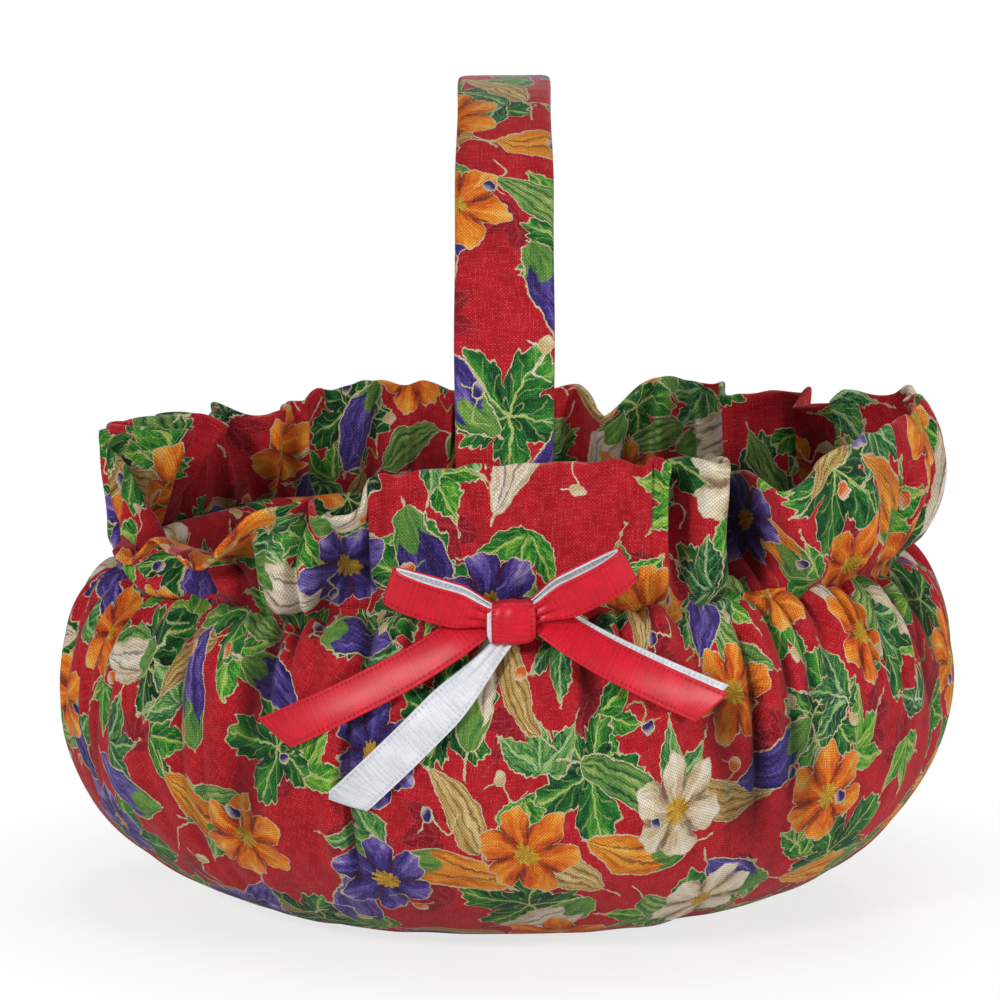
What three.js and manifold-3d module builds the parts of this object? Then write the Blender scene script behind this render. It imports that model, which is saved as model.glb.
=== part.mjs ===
// Fabric basket: a stiff tub dressed in gathered printed cotton, with a ruffle, an arched handle and a bow.
// Millimetres, +Z up. The origin is the middle of the flat underside, and the bow is at the front, at -Y.
// Angles round the basket are degrees from the front towards +X.
import * as THREE from 'three';
import { mergeVertices } from 'three/addons/utils/BufferGeometryUtils.js';
import Module from 'manifold-3d';

const wasm = await Module();
wasm.setup();

// Cloth, clearance and how finely round pieces are cut
const FIT = 0.3; // gap between pieces that touch
const CLOTH = 0.7; // printed cotton with its seam allowances
const ROUND_SIDES = 48;
const WELD = 1e-3; // points closer than this are one
const NEARBY = 0.5; // share of a step over which a surface's direction is taken

// Padded body, from the flat underside over the belt to the gathered neck
const FOOT_RADIUS = 53;
const BELT_RADIUS = 122.5;
const BELT_HEIGHT = 58;
const NECK_RADIUS = 105.4;
const NECK_HEIGHT = 91;
const BELLY_FULLNESS = 2.16; // 2 is an ellipse, more is squarer
const SHOULDER_FULLNESS = 1.96;
const GATHER_DEPTH = 1.2; // how far the gathers rise and sink at the neck
const BELLY_RINGS = 7;
const SHOULDER_RINGS = 6;

// Stiff tub under the padding
const TUB_WALL = 1.6;
const TUB_FLOOR_HEIGHT = 8;
const TUB_CORNER = 22; // outside radius between floor and wall, more where the belly leaves less room
const WADDING_LEAST = 2; // wadding between the tub's corner and the cover
const TUB_RIM_HEIGHT = 95;
const CORNER_STEPS = 5;
const BOARD_THICKNESS = 2;
const BOARD_MARGIN = 1; // how far the base board stays inside the flat underside

// Elastic in its casing at the neck
const ELASTIC_WIDTH = 8;
const ELASTIC_THICKNESS = 0.9;
const CASING_RISE = 1; // how far the casing stands above the neck line

// Arched handle: a springy strip in a cloth sleeve
const HANDLE_TOP = 223;
const HANDLE_WIDTH = 25;
const STRIP_THICKNESS = 2;
const LEG_DEPTH = 50; // how far the legs run down below the neck line
const ARCH_STEPS = 28;

// Rivets that hold the legs to the tub
const RIVET_RADIUS = 1.9;
const RIVET_HEAD_RADIUS = 3.8;
const RIVET_HEAD = 1.1;
const RIVET_CROWN = 0.6; // flat top of the head as a share of its radius
const RIVET_LOW = 12; // above the leg's end
const RIVET_SPACING = 24;
const RIVET_SIDES = 12;

// Ruffle: a folded strip of cotton. Each fold gives its place round the neck, its lean out of upright at the
// neck, how much further it curls over by the edge, how far the edge swings sideways, and its share of the
// ruffle's height.
const RUFFLE_HEIGHT = 40;
const RUFFLE_THICKNESS = 1.0;
const RUFFLE_GATHER = 0.7;
const RUFFLE_ROWS = 5;
const COLUMNS_PER_FOLD = 2;
const RUFFLE_FOLDS = [
  [-17.4, 0, 4, -1, 0.86], [0, -3, 3, 0, 0.95], [14, -3, 3, 1, 0.95], [21.5, 4, 0, 0, 0.92],
  [24.5, -26, 12, -1, 0.9], [28, 14, -14, 0, 0.92], [30.2, 6, -4, 0, 0.92], [35, -46, 20, 4, 0.9],
  [39.5, -28, 10, 0, 0.84], [44.5, 28, -26, -7, 0.72], [50, 45, -64, -4, 0.92], [57, 52, -84, 0, 1.08],
  [63, 44, -68, 0, 1.05], [70, 55, -88, 1, 1.15], [84, 55, -90, 2, 1.15], [94, 40, -66, 4, 1.08],
  [102, -14, 0, 2, 0.98], [109, 6, 6, 0, 0.9], [118, -18, 0, 0, 0.875], [127, 4, 6, 0, 0.9],
  [136, -16, 0, 0, 0.875], [146, 6, 0, 0, 0.9], [154, 2, -6, 0, 0.925], [162, -18, -8, 0, 0.725],
  [168, -2, 2, 0, 0.875], [174, -6, 0, 0, 0.8], [186, -4, 0, 0, 0.85], [199, 4, 0, 0, 0.925],
  [213, 2, 0, 0, 0.875], [223, -14, 0, 0, 0.8], [231, 4, 4, 0, 0.85], [238, -12, 0, 0, 0.8],
  [246, 6, 4, 0, 0.875], [251, -34, 0, 0, 1.02], [262, 3, 2, 0, 0.9], [275, 5, 0, -4, 0.92],
  [290, -32, 4, -12, 1.02], [296, 4, 2, -13, 0.91], [300, -16, 40, -10.5, 0.76], [304.5, -30, 100, -9, 0.4],
  [309, -32, 160, -7, 0.54], [314, -37, 140, -4, 0.58], [320, -27, 150, -1, 0.7], [324.5, -24, 118, 0, 0.68],
  [326.5, -7, 50, 0, 0.69], [328.5, 2, 10, 0, 0.715], [332, -2, 0, 0, 0.685], [335.5, -6, 30, 0, 0.63],
  [338, -30, 86, 0, 0.72], [340.6, -32, 70, 0, 0.78],
];

// Bow of two satin ribbons tied together, red over white
const RIBBON_WIDTH = 10;
const RIBBON_THICKNESS = 0.4;
const RIBBON_GAP = 0.9; // from the middle of one ribbon to the middle of the other
const KNOT_WIDTH = 11;
const KNOT_HEIGHT = 11;
const KNOT_DEPTH = 8.4;
const KNOT_RIGHT = 2; // the bow sits a little to the right of the middle
const KNOT_ABOVE_NECK = 1.5;
const KNOT_OUT = 4.6; // from the body under the knot to the knot's middle
const KNOT_PINCH = 0.3; // how much thinner the knot is at its two sides
const KNOT_SIDES = 16;
const KNOT_RINGS = 8;
const LOOP_BULGE = 3.4;
const LOOP_BACK_BULGE = 0.8;
const LOOP_ROOT_GAP = 1.5; // half the space between the two leaves where they enter the knot
const LOOP_PINCH = 0.5; // a loop's width at the knot as a share of the ribbon's
const LOOP_SEAT = 0.45; // share of the pinched band's slant that stays clear of the knot
const LOOP_OPENING = 0.4; // share of a loop's run before it has its full width
const LOOP_FORWARD = 20; // how far the loops' upper edges lean to the front, in degrees
const LOOP_STEPS = 22;
const LEFT_LOOP = { side: -1, reach: 32, tilt: 17 };
const RIGHT_LOOP = { side: 1, reach: 32, tilt: 27 };

// Tails of the bow, the red ones over the white ones. A root is measured out from the knot's side, down from
// the neck line and off the body, an end sideways from the middle, down from the neck line and off the body.
const TAILS = {
  red_tail_left: { side: -1, root: [2.4, 2.5, 2.4], end: [56, 27, 0.9] },
  red_tail_right: { side: 1, root: [2.4, 2.5, 2.4], end: [50, 22.5, 1.5] },
  white_tail_left: { side: -1, root: [-2.8, 8.5, 0.5], end: [39, 43.5, 0.5], rootShare: 0.4 },
  white_tail_right: { side: 1, root: [2.4, 1.3, 1.2], end: [50.5, 20.7, 0.5] },
};
const TAIL_STEPS = 12;
const TAIL_LANDING = 0.4; // share of a tail's run before it lies on the body
const TAIL_END_CUT = 2.6; // how far one corner of the cut end runs past its middle
const THREAD_RADIUS = 0.8;
const THREAD_SIDES = 10;

// Sizes that follow from the ones above
const degrees = THREE.MathUtils.degToRad;
const facetShare = Math.cos(Math.PI / ROUND_SIDES); // a flat's middle against its corners
const casingOuter = NECK_RADIUS - FIT;
const casingInner = casingOuter - 2 * CLOTH - 2 * FIT - ELASTIC_THICKNESS;
const casingTop = NECK_HEIGHT + CASING_RISE;
const elasticTop = casingTop - CLOTH - FIT;
const casingBottom = elasticTop - ELASTIC_WIDTH - FIT;
const legOuter = Math.sqrt((casingInner * facetShare - FIT) ** 2 - (HANDLE_WIDTH / 2) ** 2);
const stripOuter = legOuter - CLOTH - FIT;
const stripInner = stripOuter - STRIP_THICKNESS;
const legInner = stripInner - FIT - CLOTH;
const stripWidth = HANDLE_WIDTH - 2 * (CLOTH + FIT);
const archHeight = HANDLE_TOP - legOuter; // height of the middle of the arch's round
const legBottom = NECK_HEIGHT - LEG_DEPTH;
const tubRadius = legInner - FIT;
const tubInside = tubRadius - TUB_WALL;
const tubCorner = roomyCorner();
const boardTop = CLOTH + FIT + BOARD_THICKNESS;
const ruffleBottom = NECK_HEIGHT + GATHER_DEPTH + FIT;
const knotHeight = NECK_HEIGHT + KNOT_ABOVE_NECK;
const knotRadius = bodyAt(knotHeight - KNOT_HEIGHT / 2).radius + KNOT_OUT;
const knotMiddle = new THREE.Vector3(KNOT_RIGHT, -knotRadius, knotHeight);

// Geometry helpers

// A point at a radius, an angle in radians from the front and a height
function polar(radius, angle, height) {
  return new THREE.Vector3(radius * Math.sin(angle), -radius * Math.cos(angle), height);
}

// Closed geometry from points and triangles, with its faces pointing out
function closedGeometry(points, triangles) {
  const geometry = new THREE.BufferGeometry().setFromPoints(points);
  geometry.setIndex(triangles.flat());
  return cleaned(geometry);
}

// Only positions, with shared corners merged, no empty triangles and the faces pointing out
function cleaned(source) {
  const geometry = source.clone();
  geometry.deleteAttribute('normal');
  geometry.deleteAttribute('uv');
  const merged = mergeVertices(geometry, WELD);
  const index = merged.index.array;
  const position = merged.attributes.position;
  const [a, b, c] = [new THREE.Vector3(), new THREE.Vector3(), new THREE.Vector3()];
  const kept = [];
  let volume = 0;
  for (let i = 0; i < index.length; i += 3) {
    const corners = [index[i], index[i + 1], index[i + 2]];
    if (new Set(corners).size === 3) {
      kept.push(corners);
      a.fromBufferAttribute(position, corners[0]);
      b.fromBufferAttribute(position, corners[1]);
      c.fromBufferAttribute(position, corners[2]);
      volume += a.dot(b.cross(c));
    }
  }
  if (volume < 0) {
    kept.forEach((corners) => corners.reverse());
  }
  merged.setIndex(kept.flat());
  return merged;
}

// A skin over a list of closed loops with as many points each. The loops end in caps or join into a ring.
function skinned(loops, joined) {
  const count = loops[0].length;
  const triangles = [];
  const steps = joined ? loops.length : loops.length - 1;
  for (let i = 0; i < steps; i += 1) {
    const here = i * count;
    const next = ((i + 1) % loops.length) * count;
    for (let j = 0; j < count; j += 1) {
      const k = (j + 1) % count;
      triangles.push([here + j, next + j, next + k], [here + j, next + k, here + k]);
    }
  }
  if (!joined) {
    const last = (loops.length - 1) * count;
    for (let j = 1; j < count - 1; j += 1) {
      triangles.push([0, j, j + 1], [last, last + j + 1, last + j]);
    }
  }
  return closedGeometry(loops.flat(), triangles);
}

// A turned piece from its [radius, height] outline, which ends on the axis or closes on itself
function turned(outline, sides = ROUND_SIDES) {
  const profile = outline.map(([radius, height]) => new THREE.Vector2(radius, height));
  return new THREE.LatheGeometry(profile, sides).rotateX(Math.PI / 2);
}

// The same outline turned into a solid that closes on itself
function turnedRing(outline) {
  return turned([...outline, outline[0]]);
}

// A block from its lowest and highest corners
function block(low, high) {
  const size = new THREE.Vector3().subVectors(high, low);
  const middle = new THREE.Vector3().addVectors(high, low).multiplyScalar(0.5);
  return new THREE.BoxGeometry(size.x, size.y, size.z).translate(middle.x, middle.y, middle.z);
}

// Cuts the tools out of a piece
function cut(piece, tools) {
  const result = tools.reduce((rest, tool) => rest.subtract(solid(tool)), solid(piece)).getMesh();
  const geometry = new THREE.BufferGeometry();
  geometry.setAttribute('position', new THREE.BufferAttribute(result.vertProperties, 3));
  geometry.setIndex(new THREE.BufferAttribute(result.triVerts, 1));
  return geometry;
}

function solid(piece) {
  const geometry = cleaned(piece);
  const vertProperties = new Float32Array(geometry.attributes.position.array);
  const triVerts = new Uint32Array(geometry.index.array);
  return new wasm.Manifold(new wasm.Mesh({ numProp: 3, vertProperties, triVerts }));
}

// Points of a quarter round from straight down to straight out, as [radius, height]
function corner(middleRadius, middleHeight, radius) {
  const points = [];
  for (let i = 0; i <= CORNER_STEPS; i += 1) {
    const turn = (i / CORNER_STEPS) * (Math.PI / 2);
    points.push([middleRadius + radius * Math.sin(turn), middleHeight - radius * Math.cos(turn)]);
  }
  return points;
}

// Shape of the padded body

// A point of the belly's or the shoulder's curve, with its outward direction and how much it is gathered
function bellyPoint(share) {
  const turn = share * (Math.PI / 2);
  const across = Math.sin(turn) ** (2 / BELLY_FULLNESS);
  const below = Math.cos(turn) ** (2 / BELLY_FULLNESS);
  const width = BELT_RADIUS - FOOT_RADIUS;
  const out = new THREE.Vector2(
    across ** (BELLY_FULLNESS - 1) / width,
    -(below ** (BELLY_FULLNESS - 1)) / BELT_HEIGHT,
  ).normalize();
  return { radius: FOOT_RADIUS + width * across, height: BELT_HEIGHT * (1 - below), out, gather: 0 };
}

function shoulderPoint(share) {
  const turn = share * (Math.PI / 2);
  const across = Math.cos(turn) ** (2 / SHOULDER_FULLNESS);
  const above = Math.sin(turn) ** (2 / SHOULDER_FULLNESS);
  const width = BELT_RADIUS - NECK_RADIUS;
  const rise = NECK_HEIGHT - BELT_HEIGHT;
  const out = new THREE.Vector2(
    across ** (SHOULDER_FULLNESS - 1) / width,
    above ** (SHOULDER_FULLNESS - 1) / rise,
  ).normalize();
  const [radius, height] = [NECK_RADIUS + width * across, BELT_HEIGHT + rise * above];
  return { radius, height, out, gather: share ** 2 };
}

// The body's curve from the edge of the flat underside to the neck
function bodyCurve() {
  const points = [];
  for (let i = 0; i <= BELLY_RINGS; i += 1) {
    points.push(bellyPoint(i / BELLY_RINGS));
  }
  for (let i = 1; i <= SHOULDER_RINGS; i += 1) {
    points.push(shoulderPoint(i / SHOULDER_RINGS));
  }
  return points;
}

// The body's radius and outward direction at a height
function bodyAt(height) {
  const low = height < BELT_HEIGHT;
  const rise = low ? BELT_HEIGHT : NECK_HEIGHT - BELT_HEIGHT;
  const fullness = low ? BELLY_FULLNESS : SHOULDER_FULLNESS;
  const along = Math.min(Math.abs(height - BELT_HEIGHT) / rise, 1) ** (fullness / 2);
  const turn = Math.asin(along);
  return low ? bellyPoint(1 - turn / (Math.PI / 2)) : shoulderPoint(turn / (Math.PI / 2));
}

// One loop of the cover at a depth under its outer face. The gathers rise and sink at every other side.
function coverLoop(point, depth) {
  return Array.from({ length: ROUND_SIDES }, (_, i) => {
    const angle = (i / ROUND_SIDES) * 2 * Math.PI;
    const lift = GATHER_DEPTH * point.gather * (i % 2 ? -1 : 1) - depth;
    return polar(point.radius + point.out.x * lift, angle, point.height + point.out.y * lift);
  });
}

function coverGeometry() {
  const curve = bodyCurve();
  const pole = (height) => Array.from({ length: ROUND_SIDES }, () => new THREE.Vector3(0, 0, height));
  const outside = curve.map((point) => coverLoop(point, 0));
  const inside = curve.map((point) => coverLoop(point, CLOTH)).reverse();
  return skinned([pole(0), ...outside, ...inside, pole(CLOTH)], false);
}

// Fibre wadding that fills the room between tub and cover, with a pocket for each leg of the handle
function waddingGeometry() {
  const low = boardTop + FIT;
  const high = casingBottom - FIT;
  const outer = bodyCurve().map((point) => {
    const depth = CLOTH + FIT + GATHER_DEPTH * point.gather;
    return [point.radius - point.out.x * depth, point.height - point.out.y * depth];
  });
  const inner = corner(tubRadius - tubCorner, TUB_FLOOR_HEIGHT + tubCorner, tubCorner + FIT).reverse();
  const outline = [
    [0, low],
    ...betweenHeights(outer, low, high),
    [tubRadius + FIT, high],
    ...inner,
    [0, TUB_FLOOR_HEIGHT - FIT],
  ];
  const pocket = block(
    new THREE.Vector3(-HANDLE_WIDTH / 2 - FIT, tubRadius - TUB_WALL, legBottom - FIT),
    new THREE.Vector3(HANDLE_WIDTH / 2 + FIT, legOuter + RIVET_HEAD + 2 * FIT, NECK_HEIGHT),
  );
  return cut(turned(outline), [pocket, pocket.clone().rotateZ(Math.PI)]);
}

// The stretch of a rising outline between two heights, with its ends worked out on the outline
function betweenHeights(outline, low, high) {
  const result = [];
  for (let i = 1; i < outline.length; i += 1) {
    const [from, to] = [outline[i - 1], outline[i]];
    const at = (height) => {
      const share = (height - from[1]) / (to[1] - from[1]);
      return [from[0] + (to[0] - from[0]) * share, height];
    };
    if (from[1] < low && to[1] > low) {
      result.push(at(low));
    }
    if (to[1] > low && to[1] < high) {
      result.push(to);
    }
    if (from[1] < high && to[1] >= high) {
      result.push(at(high));
    }
  }
  return result;
}

// Tub, its board and its lining

// The tub's corner radius: wide enough that wadding fits between the corner and the cover all along it
function roomyCorner() {
  const fits = (radius) => {
    const points = corner(tubRadius - radius, TUB_FLOOR_HEIGHT + radius, radius);
    return points.every(([out, height]) => out + WADDING_LEAST + CLOTH < bodyAt(height).radius);
  };
  let radius = TUB_CORNER;
  while (!fits(radius)) {
    radius += TUB_WALL;
  }
  return radius;
}

function tubGeometry() {
  const middle = [tubRadius - tubCorner, TUB_FLOOR_HEIGHT + tubCorner];
  const outline = [
    [0, TUB_FLOOR_HEIGHT],
    ...corner(...middle, tubCorner),
    [tubRadius, TUB_RIM_HEIGHT],
    [tubInside, TUB_RIM_HEIGHT],
    ...corner(...middle, tubCorner - TUB_WALL).reverse(),
    [0, TUB_FLOOR_HEIGHT + TUB_WALL],
  ];
  return cut(turned(outline), rivetHoles());
}

function boardGeometry() {
  const radius = FOOT_RADIUS - BOARD_MARGIN;
  const low = CLOTH + FIT;
  return turned([[0, low], [radius, low], [radius, boardTop], [0, boardTop]]);
}

// The lining stands off the wall by a rivet head, turns over the rim and is sewn in at the neck
function liningGeometry() {
  const floor = TUB_FLOOR_HEIGHT + TUB_WALL + FIT;
  const wall = tubInside - RIVET_HEAD - 2 * FIT;
  const round = tubCorner - TUB_WALL - FIT;
  const rim = TUB_RIM_HEIGHT + FIT;
  const seam = [NECK_RADIUS - RUFFLE_THICKNESS / 2 - RUFFLE_GATHER - 2 * FIT, casingTop + FIT];
  const middle = [wall - round, floor + round];
  const outline = [
    [0, floor],
    ...corner(...middle, round),
    [wall, rim],
    [tubRadius + FIT, rim],
    seam,
    [seam[0], seam[1] + CLOTH],
    [tubRadius + FIT, rim + CLOTH],
    [wall - CLOTH, rim + CLOTH],
    ...corner(...middle, round - CLOTH).reverse(),
    [0, floor + CLOTH],
  ];
  const slit = block(
    new THREE.Vector3(-HANDLE_WIDTH / 2 - FIT, legInner - FIT, casingTop - CLOTH),
    new THREE.Vector3(HANDLE_WIDTH / 2 + FIT, legOuter + FIT, rim + 2 * CLOTH),
  );
  return cut(turned(outline), [slit, slit.clone().rotateZ(Math.PI)]);
}

// Neck casing and elastic

// A tape folded over the elastic, open below
function casingGeometry() {
  return turnedRing([
    [casingInner, casingBottom],
    [casingInner + CLOTH, casingBottom],
    [casingInner + CLOTH, casingTop - CLOTH],
    [casingOuter - CLOTH, casingTop - CLOTH],
    [casingOuter - CLOTH, casingBottom],
    [casingOuter, casingBottom],
    [casingOuter, casingTop],
    [casingInner, casingTop],
  ]);
}

function elasticGeometry() {
  const inner = casingInner + CLOTH + FIT;
  const outer = inner + ELASTIC_THICKNESS;
  const low = elasticTop - ELASTIC_WIDTH;
  return turnedRing([[inner, low], [outer, low], [outer, elasticTop], [inner, elasticTop]]);
}

// Ruffle

// Smooth value of one column of the folds at an angle: level at a crest or hollow, sloping in between
function foldValue(angle, column) {
  const count = RUFFLE_FOLDS.length;
  const at = (i) => RUFFLE_FOLDS[((i % count) + count) % count];
  const place = (i) => at(i)[0] + 360 * Math.floor(i / count);
  const slope = (i) => {
    const before = (at(i)[column] - at(i - 1)[column]) / (place(i) - place(i - 1));
    const after = (at(i + 1)[column] - at(i)[column]) / (place(i + 1) - place(i));
    return before * after > 0 ? (2 * before * after) / (before + after) : 0;
  };
  let i = 0;
  while (place(i + 1) <= angle) {
    i += 1;
  }
  const span = place(i + 1) - place(i);
  const t = (angle - place(i)) / span;
  const rise = 3 * t ** 2 - 2 * t ** 3;
  const value = at(i)[column] * (1 - rise) + at(i + 1)[column] * rise;
  return value + span * (slope(i) * (t - 2 * t ** 2 + t ** 3) + slope(i + 1) * (t ** 3 - t ** 2));
}

// The middle of the ruffle's cloth at an angle in degrees and a share of its height, leaning and curling
function rufflePoint(angle, share) {
  const lean = degrees(foldValue(angle, 1));
  const curl = degrees(foldValue(angle, 2));
  const swing = foldValue(angle, 3) * share;
  const tall = RUFFLE_HEIGHT * foldValue(angle, 4) * share;
  const halfTurn = (curl * share) / 2;
  const chord = Math.abs(halfTurn) < WELD ? tall : (tall * Math.sin(halfTurn)) / halfTurn;
  const heading = lean + halfTurn;
  const radius = NECK_RADIUS + chord * Math.sin(heading);
  return polar(radius, degrees(angle + swing), ruffleBottom + chord * Math.cos(heading));
}

function ruffleGeometry() {
  const angles = RUFFLE_FOLDS.flatMap(([from], i) => {
    const to = i + 1 < RUFFLE_FOLDS.length ? RUFFLE_FOLDS[i + 1][0] : RUFFLE_FOLDS[0][0] + 360;
    return Array.from({ length: COLUMNS_PER_FOLD }, (_, j) => from + ((to - from) * j) / COLUMNS_PER_FOLD);
  });
  const loops = [];
  for (let row = 0; row <= RUFFLE_ROWS; row += 1) {
    const share = row / RUFFLE_ROWS;
    loops.push(angles.map((angle, column) => ruffleFaces(angle, share, column)));
  }
  const outside = loops.map((loop) => loop.map((faces) => faces.outer));
  const inside = loops.map((loop) => loop.map((faces) => faces.inner)).reverse();
  return skinned([...outside, ...inside], true);
}

// The two faces of the ruffle's doubled cloth, gathered into small waves at the neck
function ruffleFaces(angle, share, column) {
  const middle = rufflePoint(angle, share);
  const along = rufflePoint(angle + NEARBY, share).sub(rufflePoint(angle - NEARBY, share));
  const step = NEARBY / RUFFLE_ROWS;
  const [low, high] = [Math.max(share - step, 0), Math.min(share + step, 1)];
  const up = rufflePoint(angle, high).sub(rufflePoint(angle, low));
  const out = along.cross(up).normalize();
  const wave = RUFFLE_GATHER * (1 - share) ** 2 * (column % 2 ? -1 : 1);
  middle.add(polar(wave, degrees(angle), 0));
  const half = out.multiplyScalar(RUFFLE_THICKNESS / 2);
  return { outer: middle.clone().add(half), inner: middle.clone().sub(half) };
}

// Handle and its rivets

// An arch on straight legs, from its outer and inner radius, its width and the height of the legs' ends
function archGeometry(outer, inner, width, bottom) {
  const shape = new THREE.Shape();
  shape.moveTo(-outer, bottom);
  shape.lineTo(-outer, archHeight);
  shape.absarc(0, archHeight, outer, Math.PI, 0, true);
  shape.lineTo(outer, bottom);
  shape.lineTo(inner, bottom);
  shape.lineTo(inner, archHeight);
  shape.absarc(0, archHeight, inner, 0, Math.PI, false);
  shape.lineTo(-inner, bottom);
  const settings = { depth: width, bevelEnabled: false, curveSegments: ARCH_STEPS };
  const geometry = new THREE.ExtrudeGeometry(shape, settings).translate(0, 0, -width / 2);
  const upright = new THREE.Matrix4().makeBasis(
    new THREE.Vector3(0, 1, 0),
    new THREE.Vector3(0, 0, 1),
    new THREE.Vector3(1, 0, 0),
  );
  return geometry.applyMatrix4(upright);
}

function stripGeometry() {
  return cut(archGeometry(stripOuter, stripInner, stripWidth, legBottom), rivetHoles());
}

function sleeveGeometry() {
  const outside = archGeometry(legOuter, legInner, HANDLE_WIDTH, legBottom);
  const room = archGeometry(stripOuter + FIT, stripInner - FIT, stripWidth + 2 * FIT, legBottom - CLOTH);
  return cut(outside, [room, ...rivetHoles()]);
}

// The rivets' places: two to a leg, at the front and at the back
function rivetPlaces() {
  const low = legBottom + RIVET_LOW;
  return ['front', 'back'].flatMap((end) => [
    { name: `rivet_${end}_lower`, front: end === 'front', height: low },
    { name: `rivet_${end}_upper`, front: end === 'front', height: low + RIVET_SPACING },
  ]);
}

// Turns a piece made along +Z so that it points out of the front or the back at a height
function acrossLeg(geometry, front, height) {
  return geometry.rotateX(front ? Math.PI / 2 : -Math.PI / 2).translate(0, 0, height);
}

function rivetHoles() {
  const radius = RIVET_RADIUS + FIT;
  const [low, high] = [tubInside - RIVET_HEAD, legOuter + RIVET_HEAD];
  const outline = [[0, low], [radius, low], [radius, high], [0, high]];
  return rivetPlaces().map(({ front, height }) => acrossLeg(turned(outline, RIVET_SIDES), front, height));
}

function rivetGeometry(front, height) {
  const crown = RIVET_HEAD_RADIUS * RIVET_CROWN;
  const inside = tubInside - FIT;
  const outside = legOuter + FIT;
  const outline = [
    [0, inside - RIVET_HEAD],
    [crown, inside - RIVET_HEAD],
    [RIVET_HEAD_RADIUS, inside],
    [RIVET_RADIUS, inside],
    [RIVET_RADIUS, outside],
    [RIVET_HEAD_RADIUS, outside],
    [crown, outside + RIVET_HEAD],
    [0, outside + RIVET_HEAD],
  ];
  return acrossLeg(turned(outline, RIVET_SIDES), front, height);
}

// Bow

// A flat ribbon through a list of middles, each with its width direction and its face direction
function ribbonGeometry(stations) {
  const loops = stations.map(({ middle, across, face, share = 1, lead = 0, along }) => {
    const side = across.clone().multiplyScalar((RIBBON_WIDTH / 2) * share);
    const half = face.clone().multiplyScalar(RIBBON_THICKNESS / 2);
    const cutLead = along ? along.clone().multiplyScalar(lead) : new THREE.Vector3();
    return [
      middle.clone().add(side).add(half).add(cutLead),
      middle.clone().sub(side).add(half).sub(cutLead),
      middle.clone().sub(side).sub(half).sub(cutLead),
      middle.clone().add(side).sub(half).add(cutLead),
    ];
  });
  return skinned(loops, false);
}

// A loop of the bow: out of the knot along its front leaf, round the tip and back, the white ribbon inside
function loopGeometry({ side, reach, tilt }, inset) {
  const out = new THREE.Vector3(side * Math.cos(degrees(tilt)), 0, Math.sin(degrees(tilt)));
  const forward = side * degrees(LOOP_FORWARD);
  const front = new THREE.Vector3(0, -1, 0).applyAxisAngle(out, forward);
  const across = new THREE.Vector3().crossVectors(front, out).normalize();
  const rootSide = (RIBBON_WIDTH / 2) * LOOP_PINCH * LOOP_SEAT * Math.sin(degrees(tilt));
  const root = (KNOT_WIDTH / 2 + FIT + rootSide) / Math.cos(degrees(tilt));
  const place = (turn) => {
    const along = root + (reach - inset - root) * Math.sin(turn / 2) ** 2;
    const bulge = Math.sin(turn) > 0 ? LOOP_BULGE : LOOP_BACK_BULGE;
    const swell = (bulge - inset / 2) * Math.sin(turn) * Math.sin(turn / 2);
    const depth = (LOOP_ROOT_GAP - inset) * Math.cos(turn / 2) + swell;
    return knotMiddle.clone().addScaledVector(out, along).addScaledVector(front, depth);
  };
  const stations = [];
  for (let i = 0; i <= LOOP_STEPS; i += 1) {
    const turn = (i / LOOP_STEPS) * 2 * Math.PI;
    const step = (NEARBY * Math.PI) / LOOP_STEPS;
    const along = place(Math.min(turn + step, 2 * Math.PI)).sub(place(Math.max(turn - step, 0)));
    const face = new THREE.Vector3().crossVectors(along, across).normalize();
    const opened = THREE.MathUtils.smoothstep(Math.sin(turn / 2) ** 2, 0, LOOP_OPENING);
    stations.push({ middle: place(turn), across, face, share: THREE.MathUtils.lerp(LOOP_PINCH, 1, opened) });
  }
  return ribbonGeometry(stations);
}

// A tail of the bow: it leaves the knot and comes to lie on the body
function tailGeometry({ side, root, end, rootShare = 1 }) {
  const rootSideways = KNOT_RIGHT + side * (KNOT_WIDTH / 2 + FIT + root[0]);
  const place = (share) => {
    const x = THREE.MathUtils.lerp(rootSideways, side * end[0], share);
    const height = NECK_HEIGHT - THREE.MathUtils.lerp(root[1], end[1], share);
    const lift = THREE.MathUtils.lerp(root[2], end[2], THREE.MathUtils.smoothstep(share, 0, TAIL_LANDING));
    const body = bodyAt(height);
    const angle = Math.asin(x / body.radius);
    const face = polar(body.out.x, angle, body.out.y);
    const crest = lift + GATHER_DEPTH * body.gather + RIBBON_THICKNESS / 2;
    return { middle: polar(body.radius, angle, height).addScaledVector(face, crest), face };
  };
  const stations = [];
  for (let i = 0; i <= TAIL_STEPS; i += 1) {
    const share = i / TAIL_STEPS;
    const { middle, face } = place(share);
    const step = NEARBY / TAIL_STEPS;
    const along = place(share + step).middle.sub(place(Math.max(share - step, 0)).middle).normalize();
    const across = new THREE.Vector3().crossVectors(face, along).normalize();
    const lead = i === TAIL_STEPS ? side * TAIL_END_CUT : 0;
    const width = THREE.MathUtils.lerp(rootShare, 1, THREE.MathUtils.smoothstep(share, 0, TAIL_LANDING));
    stations.push({ middle, across, face, share: width, lead, along });
  }
  return ribbonGeometry(stations);
}

// The ribbon wrapped round the middle of the bow, pinched in at its sides
function knotGeometry() {
  const loops = [];
  for (let i = 0; i <= KNOT_RINGS; i += 1) {
    const share = (2 * i) / KNOT_RINGS - 1;
    const swell = 1 - KNOT_PINCH * share ** 4;
    loops.push(Array.from({ length: KNOT_SIDES }, (_, j) => {
      const turn = (j / KNOT_SIDES) * 2 * Math.PI;
      const offset = new THREE.Vector3(
        (share * KNOT_WIDTH) / 2,
        (Math.cos(turn) * swell * KNOT_DEPTH) / 2,
        (Math.sin(turn) * swell * KNOT_HEIGHT) / 2,
      );
      return offset.add(knotMiddle);
    }));
  }
  return skinned(loops, false);
}

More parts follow.
